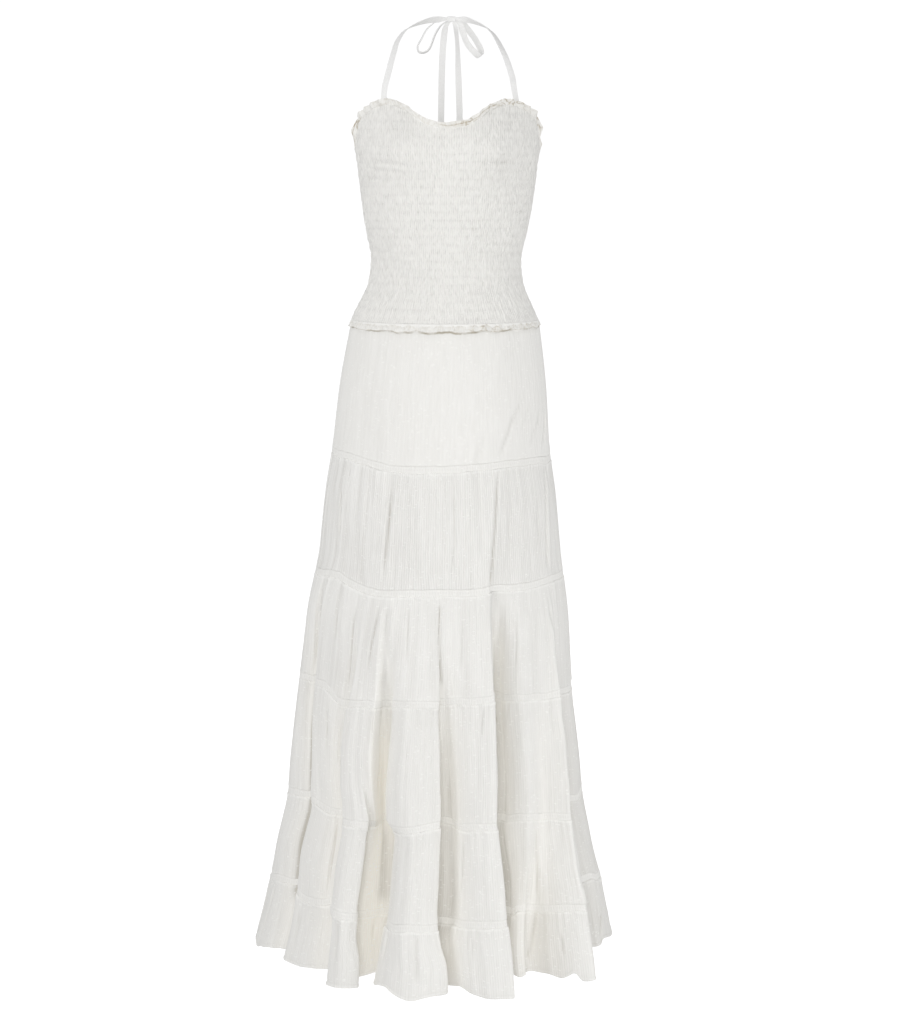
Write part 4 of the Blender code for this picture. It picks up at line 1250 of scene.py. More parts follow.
            # A narrow turned-up hem: a stitched groove above the edge, and a full rolled edge, lighter,
            # with painted shade in the groove.
            groove = bell(up - self.hem_groove, 0.0011)[:, None]
            total += 0.0004 * bell(up - self.hem_line, 0.0018)[:, None] * (0.5 + beads) - 0.0007 * groove
            tone += 0.12 * bell(up, 0.0040)[:, None] - 0.30 * groove
        else:
            # Lighter on the fold, and a line of painted shade along the lower edge.
            fold = bell(up - 0.0018, 0.0012)[:, None]
            total += 0.0006 * fold * (0.6 + 0.4 * beads)
            line = bell(up, 0.0009)[:, None] * (0.25 + 0.75 * beads)
            tone += 0.30 * fold * beads - (0.60 if self.number < 3 else 0.28) * line
        return total, tone

    def build(self, form: SkirtForm, material: Material) -> None:
        """Make the front and the back.

        Args:
            form: the skirt's form.
            material: the cloth's finish.
        """
        heights = self.heights()
        stations, at_right = form.stations((self.top + self.bottom) / 2, self.spacing)
        angles = form.angle(stations)
        plan = form.plan(stations, heights)
        across = run_round(plan[len(heights) // 2])
        ways = ring_ways(softened(plan, 1))
        relief, tone = self.relief(angles, across, heights)
        outer = plan + ways * relief[..., None]
        tucked = form.tucks(angles, heights)
        hollow = form.hollows(outer, heights)
        hollow += 0.65 * (1.0 - hollow) * form.beside(angles, heights)
        deep = form.recesses(angles, heights)
        # Painted shade at the bottoms of folds, in hollows and in wedges under the deepest lips, and on
        # the panel beyond the rightmost fold, which lies in shade, more towards the hem.
        shaded = ease((angles - 60.0) / 5.0) * ease((100.0 - angles) / 14.0)
        tone -= (TUCK_SHADE * tucked + 0.20 * hollow + deep
                 + 0.42 * shaded * ease((-0.88 - heights) / 0.35)[:, None])
        share = ((self.top - heights) / (self.top - self.bottom))[:, None]
        levels = heights[:, None] + share * seam_wave(angles, self.number, 0)
        if self.number > 1:
            levels = levels + (1.0 - share) * seam_wave(angles, self.number - 1, 1)

        # The inside follows the lowest of the relief near each of a few rows.
        kept = np.unique(np.round(np.linspace(0, len(heights) - 1, 6)).astype(int))
        lowest = np.stack([relief[max(0, row - 3):row + 4].min(axis=0) for row in kept])
        lowest = np.minimum(lowest, np.minimum(np.roll(lowest, 1, axis=1), np.roll(lowest, -1, axis=1)))
        lowest[0], lowest[-1] = relief[0], relief[-1]
        inner = plan[kept] + ways[kept] * (softened(lowest, 2) - self.wall)[..., None]
        # Painted glow where the cloth lies deep between folds, weaker at their bottoms and none in the
        # wedges of painted shade.
        marks = {"tone": tone, "glow": form.glow(hollow, tucked, angles) * (1.0 - deep)}
        wall = ClothWall(raised(outer, levels), raised(inner, levels[kept]), kept, across, heights, marks)
        for half, part in wall.halves(at_right).items():
            obj = part.build(f"{self.name}_{half}", material)
            dress(obj)


@dataclass
class LaceBand:
    """A narrow band of lace insertion, all round."""

    number: int  # its number from the top
    top: float  # height of its upper edge
    spacing: float = 0.0013  # metres between mesh columns
    bar_pitch: float = 0.0042  # metres from one bar of the lace to the next
    set_back: float = 0.0003  # how far it lies behind the cloth
    wall: float = 0.0008  # thickness of the lace
    # How far its last row lies behind the edge of the cloth below, out and in.
    tucked_in: tuple[float, float] = (0.0012, 0.0021)

    def build(self, form: SkirtForm, material: Material) -> None:
        """Make the band.

        Args:
            form: the skirt's form.
            material: the lace's finish.
        """
        shares = np.array((0.0, 0.14, 0.28, 0.5, 0.72, 0.88, 1.08))
        heights = self.top - LACE_HEIGHT * shares
        stations, _ = form.stations(self.top - LACE_HEIGHT / 2, self.spacing)
        plan = form.plan(stations, heights)
        across = run_round(plan[len(shares) // 2])
        grid = Grid(across[:-1], self.top - heights, across[-1])
        ways = ring_ways(softened(plan, 1))
        turn = 2.0 * np.pi * grid.across / grid.around * round(grid.around / self.bar_pitch)
        bars = (0.5 + 0.5 * np.cos(turn)) ** 1.5
        middle = bell(shares - 0.5, 0.24)[:, None]
        edges = (bell(shares - 0.17, 0.10) + bell(shares - 0.83, 0.10))[:, None]
        knots = 0.5 + 0.5 * grid.noise(0.0017, 0.0060, 90 + self.number)
        relief = 0.0005 * middle * bars + 0.0004 * edges * (0.6 + 0.8 * knots) - self.set_back
        relief[-1] = -self.tucked_in[0]
        tone = 0.50 * middle * (bars - 0.60) + 0.50 * edges * (knots - 0.20)
        # Painted shade along its upper edge, under the seam.
        tone -= (0.45 if self.number < 3 else 0.18) * bell(shares, 0.07)[:, None]
        outer = plan + ways * relief[..., None]
        kept = np.array((0, len(shares) - 1))
        behind = np.array((self.set_back + self.wall, self.tucked_in[1]))[:, None, None]
        inner = plan[kept] - ways[kept] * behind
        angles = form.angle(stations)
        levels = (heights[:, None] + (1.0 - shares)[:, None] * seam_wave(angles, self.number, 0)
                  + shares[:, None] * seam_wave(angles, self.number, 1))
        tucked = form.tucks(angles, heights)
        # Painted shade at the bottoms of folds, and painted glow where the lace lies deep between them.
        marks = {"tone": tone - TUCK_SHADE * tucked,
                 "glow": form.glow(form.hollows(outer, heights), tucked, angles)}
        wall = ClothWall(raised(outer, levels), raised(inner, levels[kept]), kept, across, heights, marks)
        obj = wall.build(f"lace_{self.number}", material)
        dress(obj)


@dataclass
class Skirt:
    """Yoke, lace bands, gathered tiers and hem ruffle."""

    form: SkirtForm = field(default_factory=SkirtForm)
    # Cut width for each metre of gathered width, of each tier and the ruffle.
    fullness: tuple[float, ...] = (1.22, 1.22, 1.18, 1.15, 1.15)
    turnings: float = 0.020  # how much higher than a tier its strip is cut

    def pieces(self) -> list[SkirtPiece]:
        """List the yoke, the tiers and the ruffle with their sizes.

        Returns:
            The pieces, from the top.
        """
        made = [SkirtPiece("yoke", YOKE_TOP_Z, LACE_TOPS[0] + SEAM_GAP, 0.222, 1, 1.03, 0.0015, 26,
                           gather_top=0.0, gather_bottom=0.0002, crinkle=0.30, seed=100)]
        tops = [top - LACE_HEIGHT - SEAM_GAP for top in LACE_TOPS]
        bottoms = [top + SEAM_GAP for top in LACE_TOPS[1:]] + [HEM_Z]
        for number, (top, bottom, fullness) in enumerate(zip(tops, bottoms, self.fullness)):
            sizes = (top, bottom, top - bottom + self.turnings, number + 2, fullness)
            seed = 200 + 50 * number
            if number < len(tops) - 1:
                made.append(SkirtPiece(f"tier_{number + 1}", *sizes, rows=15, seed=seed))
            else:
                made.append(SkirtPiece("hem_ruffle", *sizes, rows=12, gather_top=0.0016, gather_bottom=0.0,
                                       crinkle=1.15, seed=seed, hem=True))
        return made

    def build(self, finishes: dict[str, Material]) -> None:
        """Make every piece of the skirt.

        Args:
            finishes: the dress's finishes.
        """
        names = {"yoke": "yoke", "tier_1": "first_tier"}
        for piece in self.pieces():
            piece.build(self.form, finishes[names.get(piece.name, "tier")])
        for number, top in enumerate(LACE_TOPS, start=1):
            LaceBand(number, top).build(self.form, finishes["lace"])


# ---------------- the bodice and its frills
@dataclass
class BodiceForm:
    """The smocked bodice's wall, with the fullness of its two cups."""

    cup_out: float = 0.024  # how far a cup stands out
    cup_apart: float = 0.069  # from the middle to a cup's centre
    cup_width: float = 0.046  # how far a cup reaches sideways
    cup_z: float = -0.204  # height of the cups' centres
    cup_rise: float = 0.058  # how far a cup reaches up
    cup_drop: float = 0.040  # how far it reaches down
    cup_side_fade: float = 0.4  # share of the front over which the cups fade at the sides
    frill_height: float = 0.0085  # height of the top frill in the top edge's table

    edge = SmoothTable(TOP_EDGE)

    def plan(self, degrees: Array, heights: Array) -> Array:
        """Plan points of the wall.

        Args:
            degrees: places round the bodice.
            heights: heights, in a shape that joins with the degrees' shape.

        Returns:
            Points across and along, in the last axis.
        """
        points = Section.plan(degrees, heights)
        degrees, heights = np.broadcast_arrays(degrees, heights)
        centre = Section.table.at(heights, 1)
        front = ease(np.cos(np.radians(degrees)) / self.cup_side_fade)
        up = bell(heights - self.cup_z, np.where(heights > self.cup_z, self.cup_rise, self.cup_drop))
        for side in (-1.0, 1.0):
            offset = points[..., 0] - centre - side * self.cup_apart
            points[..., 1] -= self.cup_out * front * up * bell(offset, self.cup_width)
        return points

    def ways(self, degrees: Array, heights: Array) -> Array:
        """Outward unit ways of the wall, in plan."""
        return ways_out(self.plan(degrees + 0.6, heights) - self.plan(degrees - 0.6, heights))

    def top(self, degrees: Array) -> Array:
        """Height of the wall's top edge, below its frill."""
        return MM * self.edge.at(from_front(degrees), 0) - self.frill_height - SEAM_GAP

    def spread(self, height: float, spacing: float) -> tuple[Array, int]:
        """Even mesh columns all round at a height, and the number of the one at the right seam."""
        return even_columns(lambda fine: self.plan(fine, np.array(height)),
                            (LEFT_SEAM, RIGHT_SEAM, LEFT_SEAM + 360.0), spacing, 2001)


def from_front(degrees: Array) -> Array:
    """How many degrees places round the dress lie from the centre front, to either side."""
    return np.abs((degrees + 180.0) % 360.0 - 180.0)


@dataclass(frozen=True)
class Tuck:
    """A soft crease across the bodice, placed one by one."""

    depth: float  # how deep it is, in millimetres
    width: float  # half its width, in millimetres
    shade: float  # strength of the painted shade at its bottom
    way: Array  # its route, as degrees round the bodice and millimetres up

    def relief(self, degrees: Array, heights: Array) -> Grids:
        """The crease on the bodice's grid.

        Args:
            degrees: place of each column round the bodice.
            heights: height of each row and column.

        Returns:
            Movement outwards and change of tone for each row and column.
        """
        turn, level = self.way.T
        share = (degrees - turn[0]) / (turn[-1] - turn[0])
        inside = ease(share / 0.35) * ease((1.0 - share) / 0.35)
        core = bell(heights - MM * np.interp(degrees, turn, level), MM * self.width) * inside
        return -MM * self.depth * core, -self.shade * core


# Depth, width and shade of each tuck, then the degrees and millimetres of its way in turn.
TUCKS = tuple(Tuck(*row[:3], np.reshape(row[3:], (-1, 2))) for row in (
    (2.7, 4, 0.31, -66, -213, -50, -219, -34, -224, -16, -229),
    (2.2, 3, 0.26, -70, -227, -52, -232, -36, -235, -22, -238),
    (1.7, 2.6, 0.22, -74, -242, -58, -245, -40, -246),
    (2.5, 4, 0.29, 14, -226, 32, -221, 50, -217, 68, -213),
    (2, 3, 0.26, 24, -237, 42, -233, 60, -229, 74, -226),
    (1.7, 2.6, 0.22, 46, -256, 62, -252, 78, -248),
    (1.5, 3, 0.18, -80, -350, -58, -353, -34, -354),
    (1.5, 3, 0.18, 30, -362, 56, -358, 80, -354),
))


@dataclass
class Bodice:
    """The smocked bodice: gathers between rows of elastic."""

    form: BodiceForm
    spacing: float = 0.00082  # metres between mesh columns
    steps: int = 13  # number of the inner mesh rows' spaces
    finer: int = 12  # outer mesh rows for each inner one
    gather: float = 0.00066  # depth of the gathers between two rows of elastic
    wall: float = 0.0012  # thickness of the cloth
    fullness: float = 1.35  # cut width for each metre of gathered width
    flat_heights: tuple[float, float] = (0.345, 0.280)  # heights of the cut front and back

    @staticmethod
    def cells(grid: Grid, row: Array, pitch: float, seed: int) -> Array:
        """Gathers that start afresh between each two rows of elastic.

        Args:
            grid: the cloth's grid.
            row: the row of elastic, and share of the way to the next, of each point.
            pitch: width of a gather.
            seed: what the random numbers start from.

        Returns:
            A value from -1 to 1 for each row and column.
        """
        made = np.zeros(row.shape)
        number = np.floor(row).astype(int)
        for band in np.unique(number):
            at_top, below = (grid.ripple(pitch, seed + 20 * (band + 4) + more) for more in (0, 7))
            share = ease((row - band - 0.25) / 0.5)
            made = np.where(number == band, at_top * (1.0 - share) + below * share, made)
        return made

    def relief(self, across: Array, heights: Array) -> Grids:
        """Puffs and gathers of the smocking, whose rows of elastic run level round the body.

        Args:
            across: place of each column along the cloth, and the length all round.
            heights: height of each row and column.

        Returns:
            Movement outwards and change of tone for each row and column.
        """
        drop = heights.max() - BODICE_BOTTOM_Z
        rows = np.linspace(0.0, drop / SMOCK_PITCH, round(drop / SMOCK_PITCH * 10))
        grid = Grid(across[:-1], rows, across[-1])
        row = rows[:, None] + grid.noise(0.030, 2.0, 7, 0.12)
        puff = np.sin(np.pi * (row - np.floor(row))) ** 0.7
        patchy = 0.65 + 0.35 * grid.noise(0.0180, 1.3, 8)
        fine, open_share = self.cells(grid, row, 0.0016, 11), 0.45 + 0.55 * puff
        total = (0.46 * puff * patchy - 0.8) * SMOCK_PUFF + 1.3 * self.gather * open_share * fine
        total += grid.noise(0.0100, 0.9, 13, 0.0004) + grid.noise(0.0350, 3.0, 14, 0.0008)
        dashes = 0.6 + 0.8 * grid.noise(0.0030, 0.9, 12)
        # The gathers' painted shade and light are stronger towards the sides, and weaker at the centre
        # front and back.
        sideways = 1.45 + 0.65 * np.cos(4.0 * np.pi * grid.across / grid.around)
        # Painted shade and light: lighter on the crests of the gathers and on the puffs, darker between
        # gathers and in the grooves at the rows of elastic.
        crests = (fine + 0.55 * (fine ** 2 - 0.25)) * open_share
        tone = 0.34 * crests * sideways - 0.66 * (1.0 - puff) ** 2 * patchy * dashes + 0.14 * puff
        # The last half row lies over the hip frill's root.
        sewn = ease((rows - rows[-1] + 0.6) / 0.6)[:, None]
        total += sewn * (0.25 * SMOCK_PUFF - total) * 0.85
        tone *= 1.0 - 0.6 * sewn
        places = (heights.max() - heights) / drop * (len(rows) - 1)
        upper = np.clip(np.floor(places).astype(int), 0, len(rows) - 2)
        share = places - upper
        return tuple(np.take_along_axis(made, upper, axis=0) * (1.0 - share)
                     + np.take_along_axis(made, upper + 1, axis=0) * share for made in (total, tone))

    def build(self, material: Material) -> None:
        """Make the front and the back.

        Args:
            material: the cloth's finish.
        """
        degrees, at_right = self.form.spread(-0.28, self.spacing)
        shares = np.linspace(0.0, 1.0, self.finer * self.steps + 1)
        top = self.form.top(degrees)
        heights = top + shares[:, None] * (BODICE_BOTTOM_Z - top)
        plan, ways = self.form.plan(degrees, heights), self.form.ways(degrees, heights)
        across = run_round(plan[len(shares) // 2])
        relief, tone = self.relief(across, heights)
        # Tucks, with painted shade at their bottoms.
        for tuck in TUCKS:
            moved, shaded = tuck.relief(degrees, heights)
            relief, tone = relief + moved, tone + shaded
        kept = np.arange(0, len(shares), self.finer)
        inner = plan[kept] - (SMOCK_PUFF + self.wall + 0.0006) * ways[kept]
        outer = plan + ways * relief[..., None]
        wall = ClothWall(raised(outer, heights), raised(inner, heights[kept]), kept, across,
                         (BODICE_BOTTOM_Z - top.max()) * shares, {"tone": tone})
        for (half, part), height in zip(wall.halves(at_right).items(), self.flat_heights):
            obj = part.build(f"bodice_{half}", material)
            dress(obj)


@dataclass
class Frill:
    """A ruffled edge of the bodice, all round."""

    name: str
    form: BodiceForm
    height: float  # from its sewn root to its free edge
    hanging: bool  # whether it hangs down instead of standing up
    wave: float  # metres from one of its waves to the next
    depth: float  # depth of its waves at the free edge
    lean: float  # how far it stands off the wall at the free edge
    crinkle: float  # depth of its small crinkles
    shade: float  # how dark the hollows of its waves are
    seed: int
    spacing: float = 0.0009  # metres between mesh columns
    wall: float = 0.0008  # thickness of the cloth
    rows: int = 11  # number of mesh rows

    least_cut = 0.0102  # of the strip's height

    def build(self, material: Material) -> None:
        """Make the frill.

        Args:
            material: the cloth's finish.
        """
        degrees, _ = self.form.spread(YOKE_TOP_Z if self.hanging else -0.20, self.spacing)
        root_z = np.full(len(degrees), YOKE_TOP_Z) if self.hanging else self.form.top(degrees) + SEAM_GAP
        root = self.form.plan(degrees, root_z)
        across = run_round(root)
        shares = np.linspace(0.0, 1.0, self.rows)
        grid, down = Grid(across[:-1], shares, across[-1]), shares[:, None]
        phase = 2.0 * np.pi * grid.across / grid.around * round(grid.around / self.wave)
        phase = phase + 3.0 * grid.ripple(0.022, self.seed)
        crowded = 0.0 if self.hanging else bell(from_front(degrees) - 74.0, 15.0)
        size = 1.0 + 0.60 * grid.ripple(0.014, self.seed + 1) + crowded
        small = grid.noise(0.0021, 0.30, self.seed + 2)
        opened = down ** 0.8
        push = (opened * (self.lean + self.depth * size * (0.5 - 0.5 * np.cos(phase))) - 0.55 * SMOCK_PUFF
                + self.crinkle * small * (0.5 + 0.5 * opened))
        # Painted shade and light: lighter where the small crinkles stand out, and crumpled lines of
        # painted shade, darkest where the frill is crowded and over the right cup.
        lines = bell(grid.noise(0.0040, 0.28, self.seed + 5), 0.24)
        shaded = ease((degrees + 5.0) / 25.0) * ease((95.0 - degrees) / 30.0)
        strength = 0.40 + 1.2 * crowded + 0.7 * shaded
        strength = self.shade * strength * (0.9 + 1.2 * grid.ripple(0.011, self.seed + 6))
        tone = 0.12 + 0.20 * small - np.maximum(strength, 0.0) * lines
        if self.hanging:
            free = frill_edge(degrees)
            # Lighter near the free edge, with painted shade in a line across its middle and on its lowest
            # row.
            tone += 0.15 * bell(down - 0.9, 0.12) - 0.35 * bell(down - 0.35, 0.14) - 1.3 * (down > 0.99)
            levels = root_z - down * free
            plan, ways = self.form.plan(degrees, levels), self.form.ways(degrees, levels)
        else:
            free = self.height * (1.0 + grid.ripple(0.0095, self.seed + 3, 0.12)
                                  + grid.ripple(0.0026, self.seed + 4, 0.05))
            # A line of painted shade along the middle of the right cup's frill stands for a fold there.
            inside = ease((degrees + 8.0) / 8.0) * ease((34.0 - degrees) / 8.0)
            tone -= 1.3 * inside * bell(down - 0.48 - grid.ripple(0.012, self.seed + 7, 0.16), 0.10)
            levels = root_z + down * free
            plan = np.broadcast_to(root, (self.rows, *root.shape))
            ways = np.broadcast_to(self.form.ways(degrees, root_z), plan.shape)
        sideways = 0.30 * self.depth * size * np.sin(phase) * opened
        tangent = np.stack((-ways[..., 1], ways[..., 0]), axis=-1)
        outer = plan + ways * push[..., None] + tangent * sideways[..., None]
        kept = np.arange(0, self.rows, 2)
        grids = [raised(outer, levels), raised(outer[kept] - ways[kept] * self.wall, levels[kept]), tone]
        if not self.hanging:
            grids = [made[::-1] for made in grids]
        obj = ClothWall(*grids[:2], kept, across, -self.height * shares, {"tone": grids[2]}).build(
            self.name, material)
        dress(obj)


# ---------------- the ties
Way = tuple[float, float, float]
LEFT, RIGHT, DOWN = (-1.0, 0.0, 0.0), (1.0, 0.0, 0.0), (0.0, 0.0, -1.0)


@dataclass
class Ribbon:
    """A flat tie along a route of points and faces."""

    name: str
    # Across, back from the nape, up, and the way that the ribbon's face looks.
    route: Array
    start_way: Way | None  # the way that it runs where it starts in the knot, if it does
    end_way: Way | None  # the way that it runs where it ends in the knot, if it does
    seed: int
    width: float = 0.0100  # its width
    thick: float = 0.0016  # its thickness
    cut_width: float = 0.0102  # width of the finished flat tie
    pinched: float = 0.55  # share of its width that it has in the knot
    pinch_length: float = 0.016  # how far from the knot it reaches its width
    # Height of its ripples, and metres from one to the next.
    ripple: tuple[float, float] = (0.00025, 0.012)
    steps: int = 14  # mesh rings for each row of the route

    # Half of the flat cross-section, with rounded edges and a stitched groove near each.
    half = ((-0.5, 0.0), (-0.485, -0.32), (-0.44, -0.5), (-0.385, -0.40), (-0.33, -0.47),
            (0.0, -0.5), (0.33, -0.47), (0.385, -0.40), (0.44, -0.5), (0.485, -0.32))

    def stations(self) -> Array:
        """Points of a smooth curve through the route, with their faces eased alike."""
        rows = self.route
        padded = np.vstack((rows[:1], rows, rows[-1:]))
        share = (np.arange(self.steps) / self.steps)[:, None]
        made = [0.5 * (2 * b + (c - a) * share + (2 * a - 5 * b + 4 * c - d) * share ** 2
                       + (3 * b - a - 3 * c + d) * share ** 3)
                for a, b, c, d in zip(padded, padded[1:], padded[2:], padded[3:])]
        return np.vstack((*made, rows[-1:]))

    def build(self, material: Material) -> None:
        """Make the tie.

        Args:
            material: its finish.
        """
        stations = self.stations()
        centre, face = stations[:, :3], stations[:, 3:]
        along, run = np.gradient(centre, axis=0), run_along(centre)
        width = np.full(len(run), self.width)
        for end, way in ((0, self.start_way), (-1, self.end_way)):
            if way is not None:
                along[end] = way
                opened = ease(np.linalg.norm(centre - centre[end], axis=1) / self.pinch_length)
                width = np.minimum(width, self.width * (self.pinched + (1.0 - self.pinched) * opened))
        side = np.cross(along, face)
        side /= np.linalg.norm(side, axis=1, keepdims=True)
        face = np.cross(side, along)
        face /= np.linalg.norm(face, axis=1, keepdims=True)
        waves = max(4, round(run[-1] / self.ripple[1]))
        ripple = np.interp(run, np.linspace(0.0, run[-1], waves),
                           np.random.default_rng(self.seed).uniform(-1.0, 1.0, waves))
        profile = np.array((*self.half, *((-x, -y) for x, y in self.half)))
        flat, out = profile[None, :, :1], profile[None, :, 1:]
        ripple = self.ripple[0] * ripple[:, None, None] * np.cos(6.0 * flat)
        rings = (centre[:, None] + flat * (width[:, None, None] * side[:, None])
                 + (out * self.thick + ripple) * face[:, None])
        points, count, last = rings.reshape(-1, 3), len(profile), len(run) - 1
        faces, places = strip_faces(((ring, ring + 1, ring, ring + 1, False) for ring in range(last)),
                                    count, True, run_round(profile * (self.width, self.thick)), run)
        caps = np.concatenate((np.arange(count)[::-1], last * count + np.arange(count)))
        obj = add_mesh(f"{self.name}_cloth", points, np.concatenate((faces.ravel(), caps)),
                       np.concatenate((np.full(len(faces), 4), [count, count])),
                       np.concatenate((places.reshape(-1, 2), points[caps][:, [0, 2]])), material)
        dress(obj)


# Routes of the ties, without the straps' roots.  The last rows of a tail are laid on the back panel.
ROUTES = {
    # name: x, y and z in millimetres, then the way that the face looks
    "strap_left": (
        (-97.5, -124, -109, -0.5, -1, 0.2), (-91.4, -116, -85, -0.4, -1, 0.3),
        (-85, -103, -59, -0.5, -0.9, 0.5), (-79.5, -86, -40, -0.6, -0.7, 0.7),
        (-70, -65, -24.5, -0.7, -0.4, 0.9), (-55, -41, -13.7, -0.6, 0.1, 0.9),
        (-33, -16, -5, -0.4, 0.7, 0.6), (-15, -4.2, -2.2, -0.1, 1, 0.2), (-5.1, -0.5, -1.6, 0, 1, 0.1),
    ),
    "strap_right": (
        (95.8, -124, -111, 0.5, -1, 0.2), (93, -118, -93, 0.4, -1, 0.3),
        (83.5, -106, -64, 0.5, -0.9, 0.5), (73.8, -88, -43, 0.6, -0.7, 0.7),
        (64.8, -67, -27, 0.7, -0.4, 0.9), (52.4, -43, -15.2, 0.6, 0.1, 0.9),
        (31.8, -16, -5.4, 0.4, 0.7, 0.6), (18.5, -4.2, -2.2, 0.1, 1, 0.2), (9.1, -0.5, -1.6, 0, 1, 0.1),
    ),
    "bow_loop_left": (
        (-5.1, 4.8, -1, 0, 0.1, 1), (-20.5, 11, -4.4, -0.2, -0.1, 1),
        (-35.1, 16.5, -15.4, -0.7, -0.2, 0.7), (-43.1, 19, -28.5, -0.9, -0.2, 0.5),
        (-50, 19.5, -42, -1, -0.2, 0.1), (-47.8, 19.5, -50.8, -0.6, -0.2, -0.8),
        (-38.5, 19.5, -50.8, 0.4, -0.2, -0.9), (-31, 18.5, -44, 0.9, -0.2, -0.5),
        (-23.6, 15.5, -25, 0.9, -0.2, -0.5), (-14.5, 10, -11, 0.7, -0.1, -0.7),
        (-5.1, 5.2, -5, 0, 0.1, -1),
    ),
    "bow_loop_right": (
        (9.1, 6.6, -1.4, 0, 1, 0), (21.5, 14.5, -9.5, 0.2, 1, 0.2), (33.5, 20.5, -23, 0.3, 1, 0.3),
        (43, 22.5, -37, 0.3, 1, 0.2), (48.8, 21.5, -50, 0.4, 0.8, 0), (46, 16, -57.5, 0.5, -0.2, -0.9),
        (37.5, 11, -51, 0, -1, -0.3), (27, 8.5, -38.5, -0.3, -1, -0.2), (20.5, 6.4, -23, -0.3, -1, -0.1),
        (16, 4.6, -9.5, -0.2, -1, 0), (9.1, 3.4, -3, 0, -1, 0),
    ),
    "tie_tail_left": (
        (-2, 3.2, -6.5, 0, -1, 0), (-7.6, 6, -17, 0, -1, 0.3), (-11.2, 18, -47.5, 0, -1, 0.3),
        (-12.8, 31, -85, 0, -1, 0.25), (-13.8, 43, -130, 0, -1, 0.2), (-14.5, 52, -175, 0, -1, 0.1),
        (-15, 0, -215, 0, -1, 0), (-15.8, 0, -255, 0, -1, 0), (-16.5, 0, -300, 0, -1, 0),
    ),
    "tie_tail_right": (
        (6, 3.2, -6.5, 0, -1, 0), (9.2, 6, -17, -0.6, -0.8, 0.2), (11.8, 18, -45, -0.8, -0.8, 0.2),
        (13, 31, -85, -0.4, -1, 0.2), (14.6, 43, -130, 0, -1, 0.2), (15.5, 52, -175, 0, -1, 0.1),
        (16.2, 0, -215, 0, -1, 0), (17, 0, -255, 0, -1, 0), (17.8, 0, -290, 0, -1, 0),
    ),
}
LAID = 3  # rows at the end of a tail that are laid on the back panel


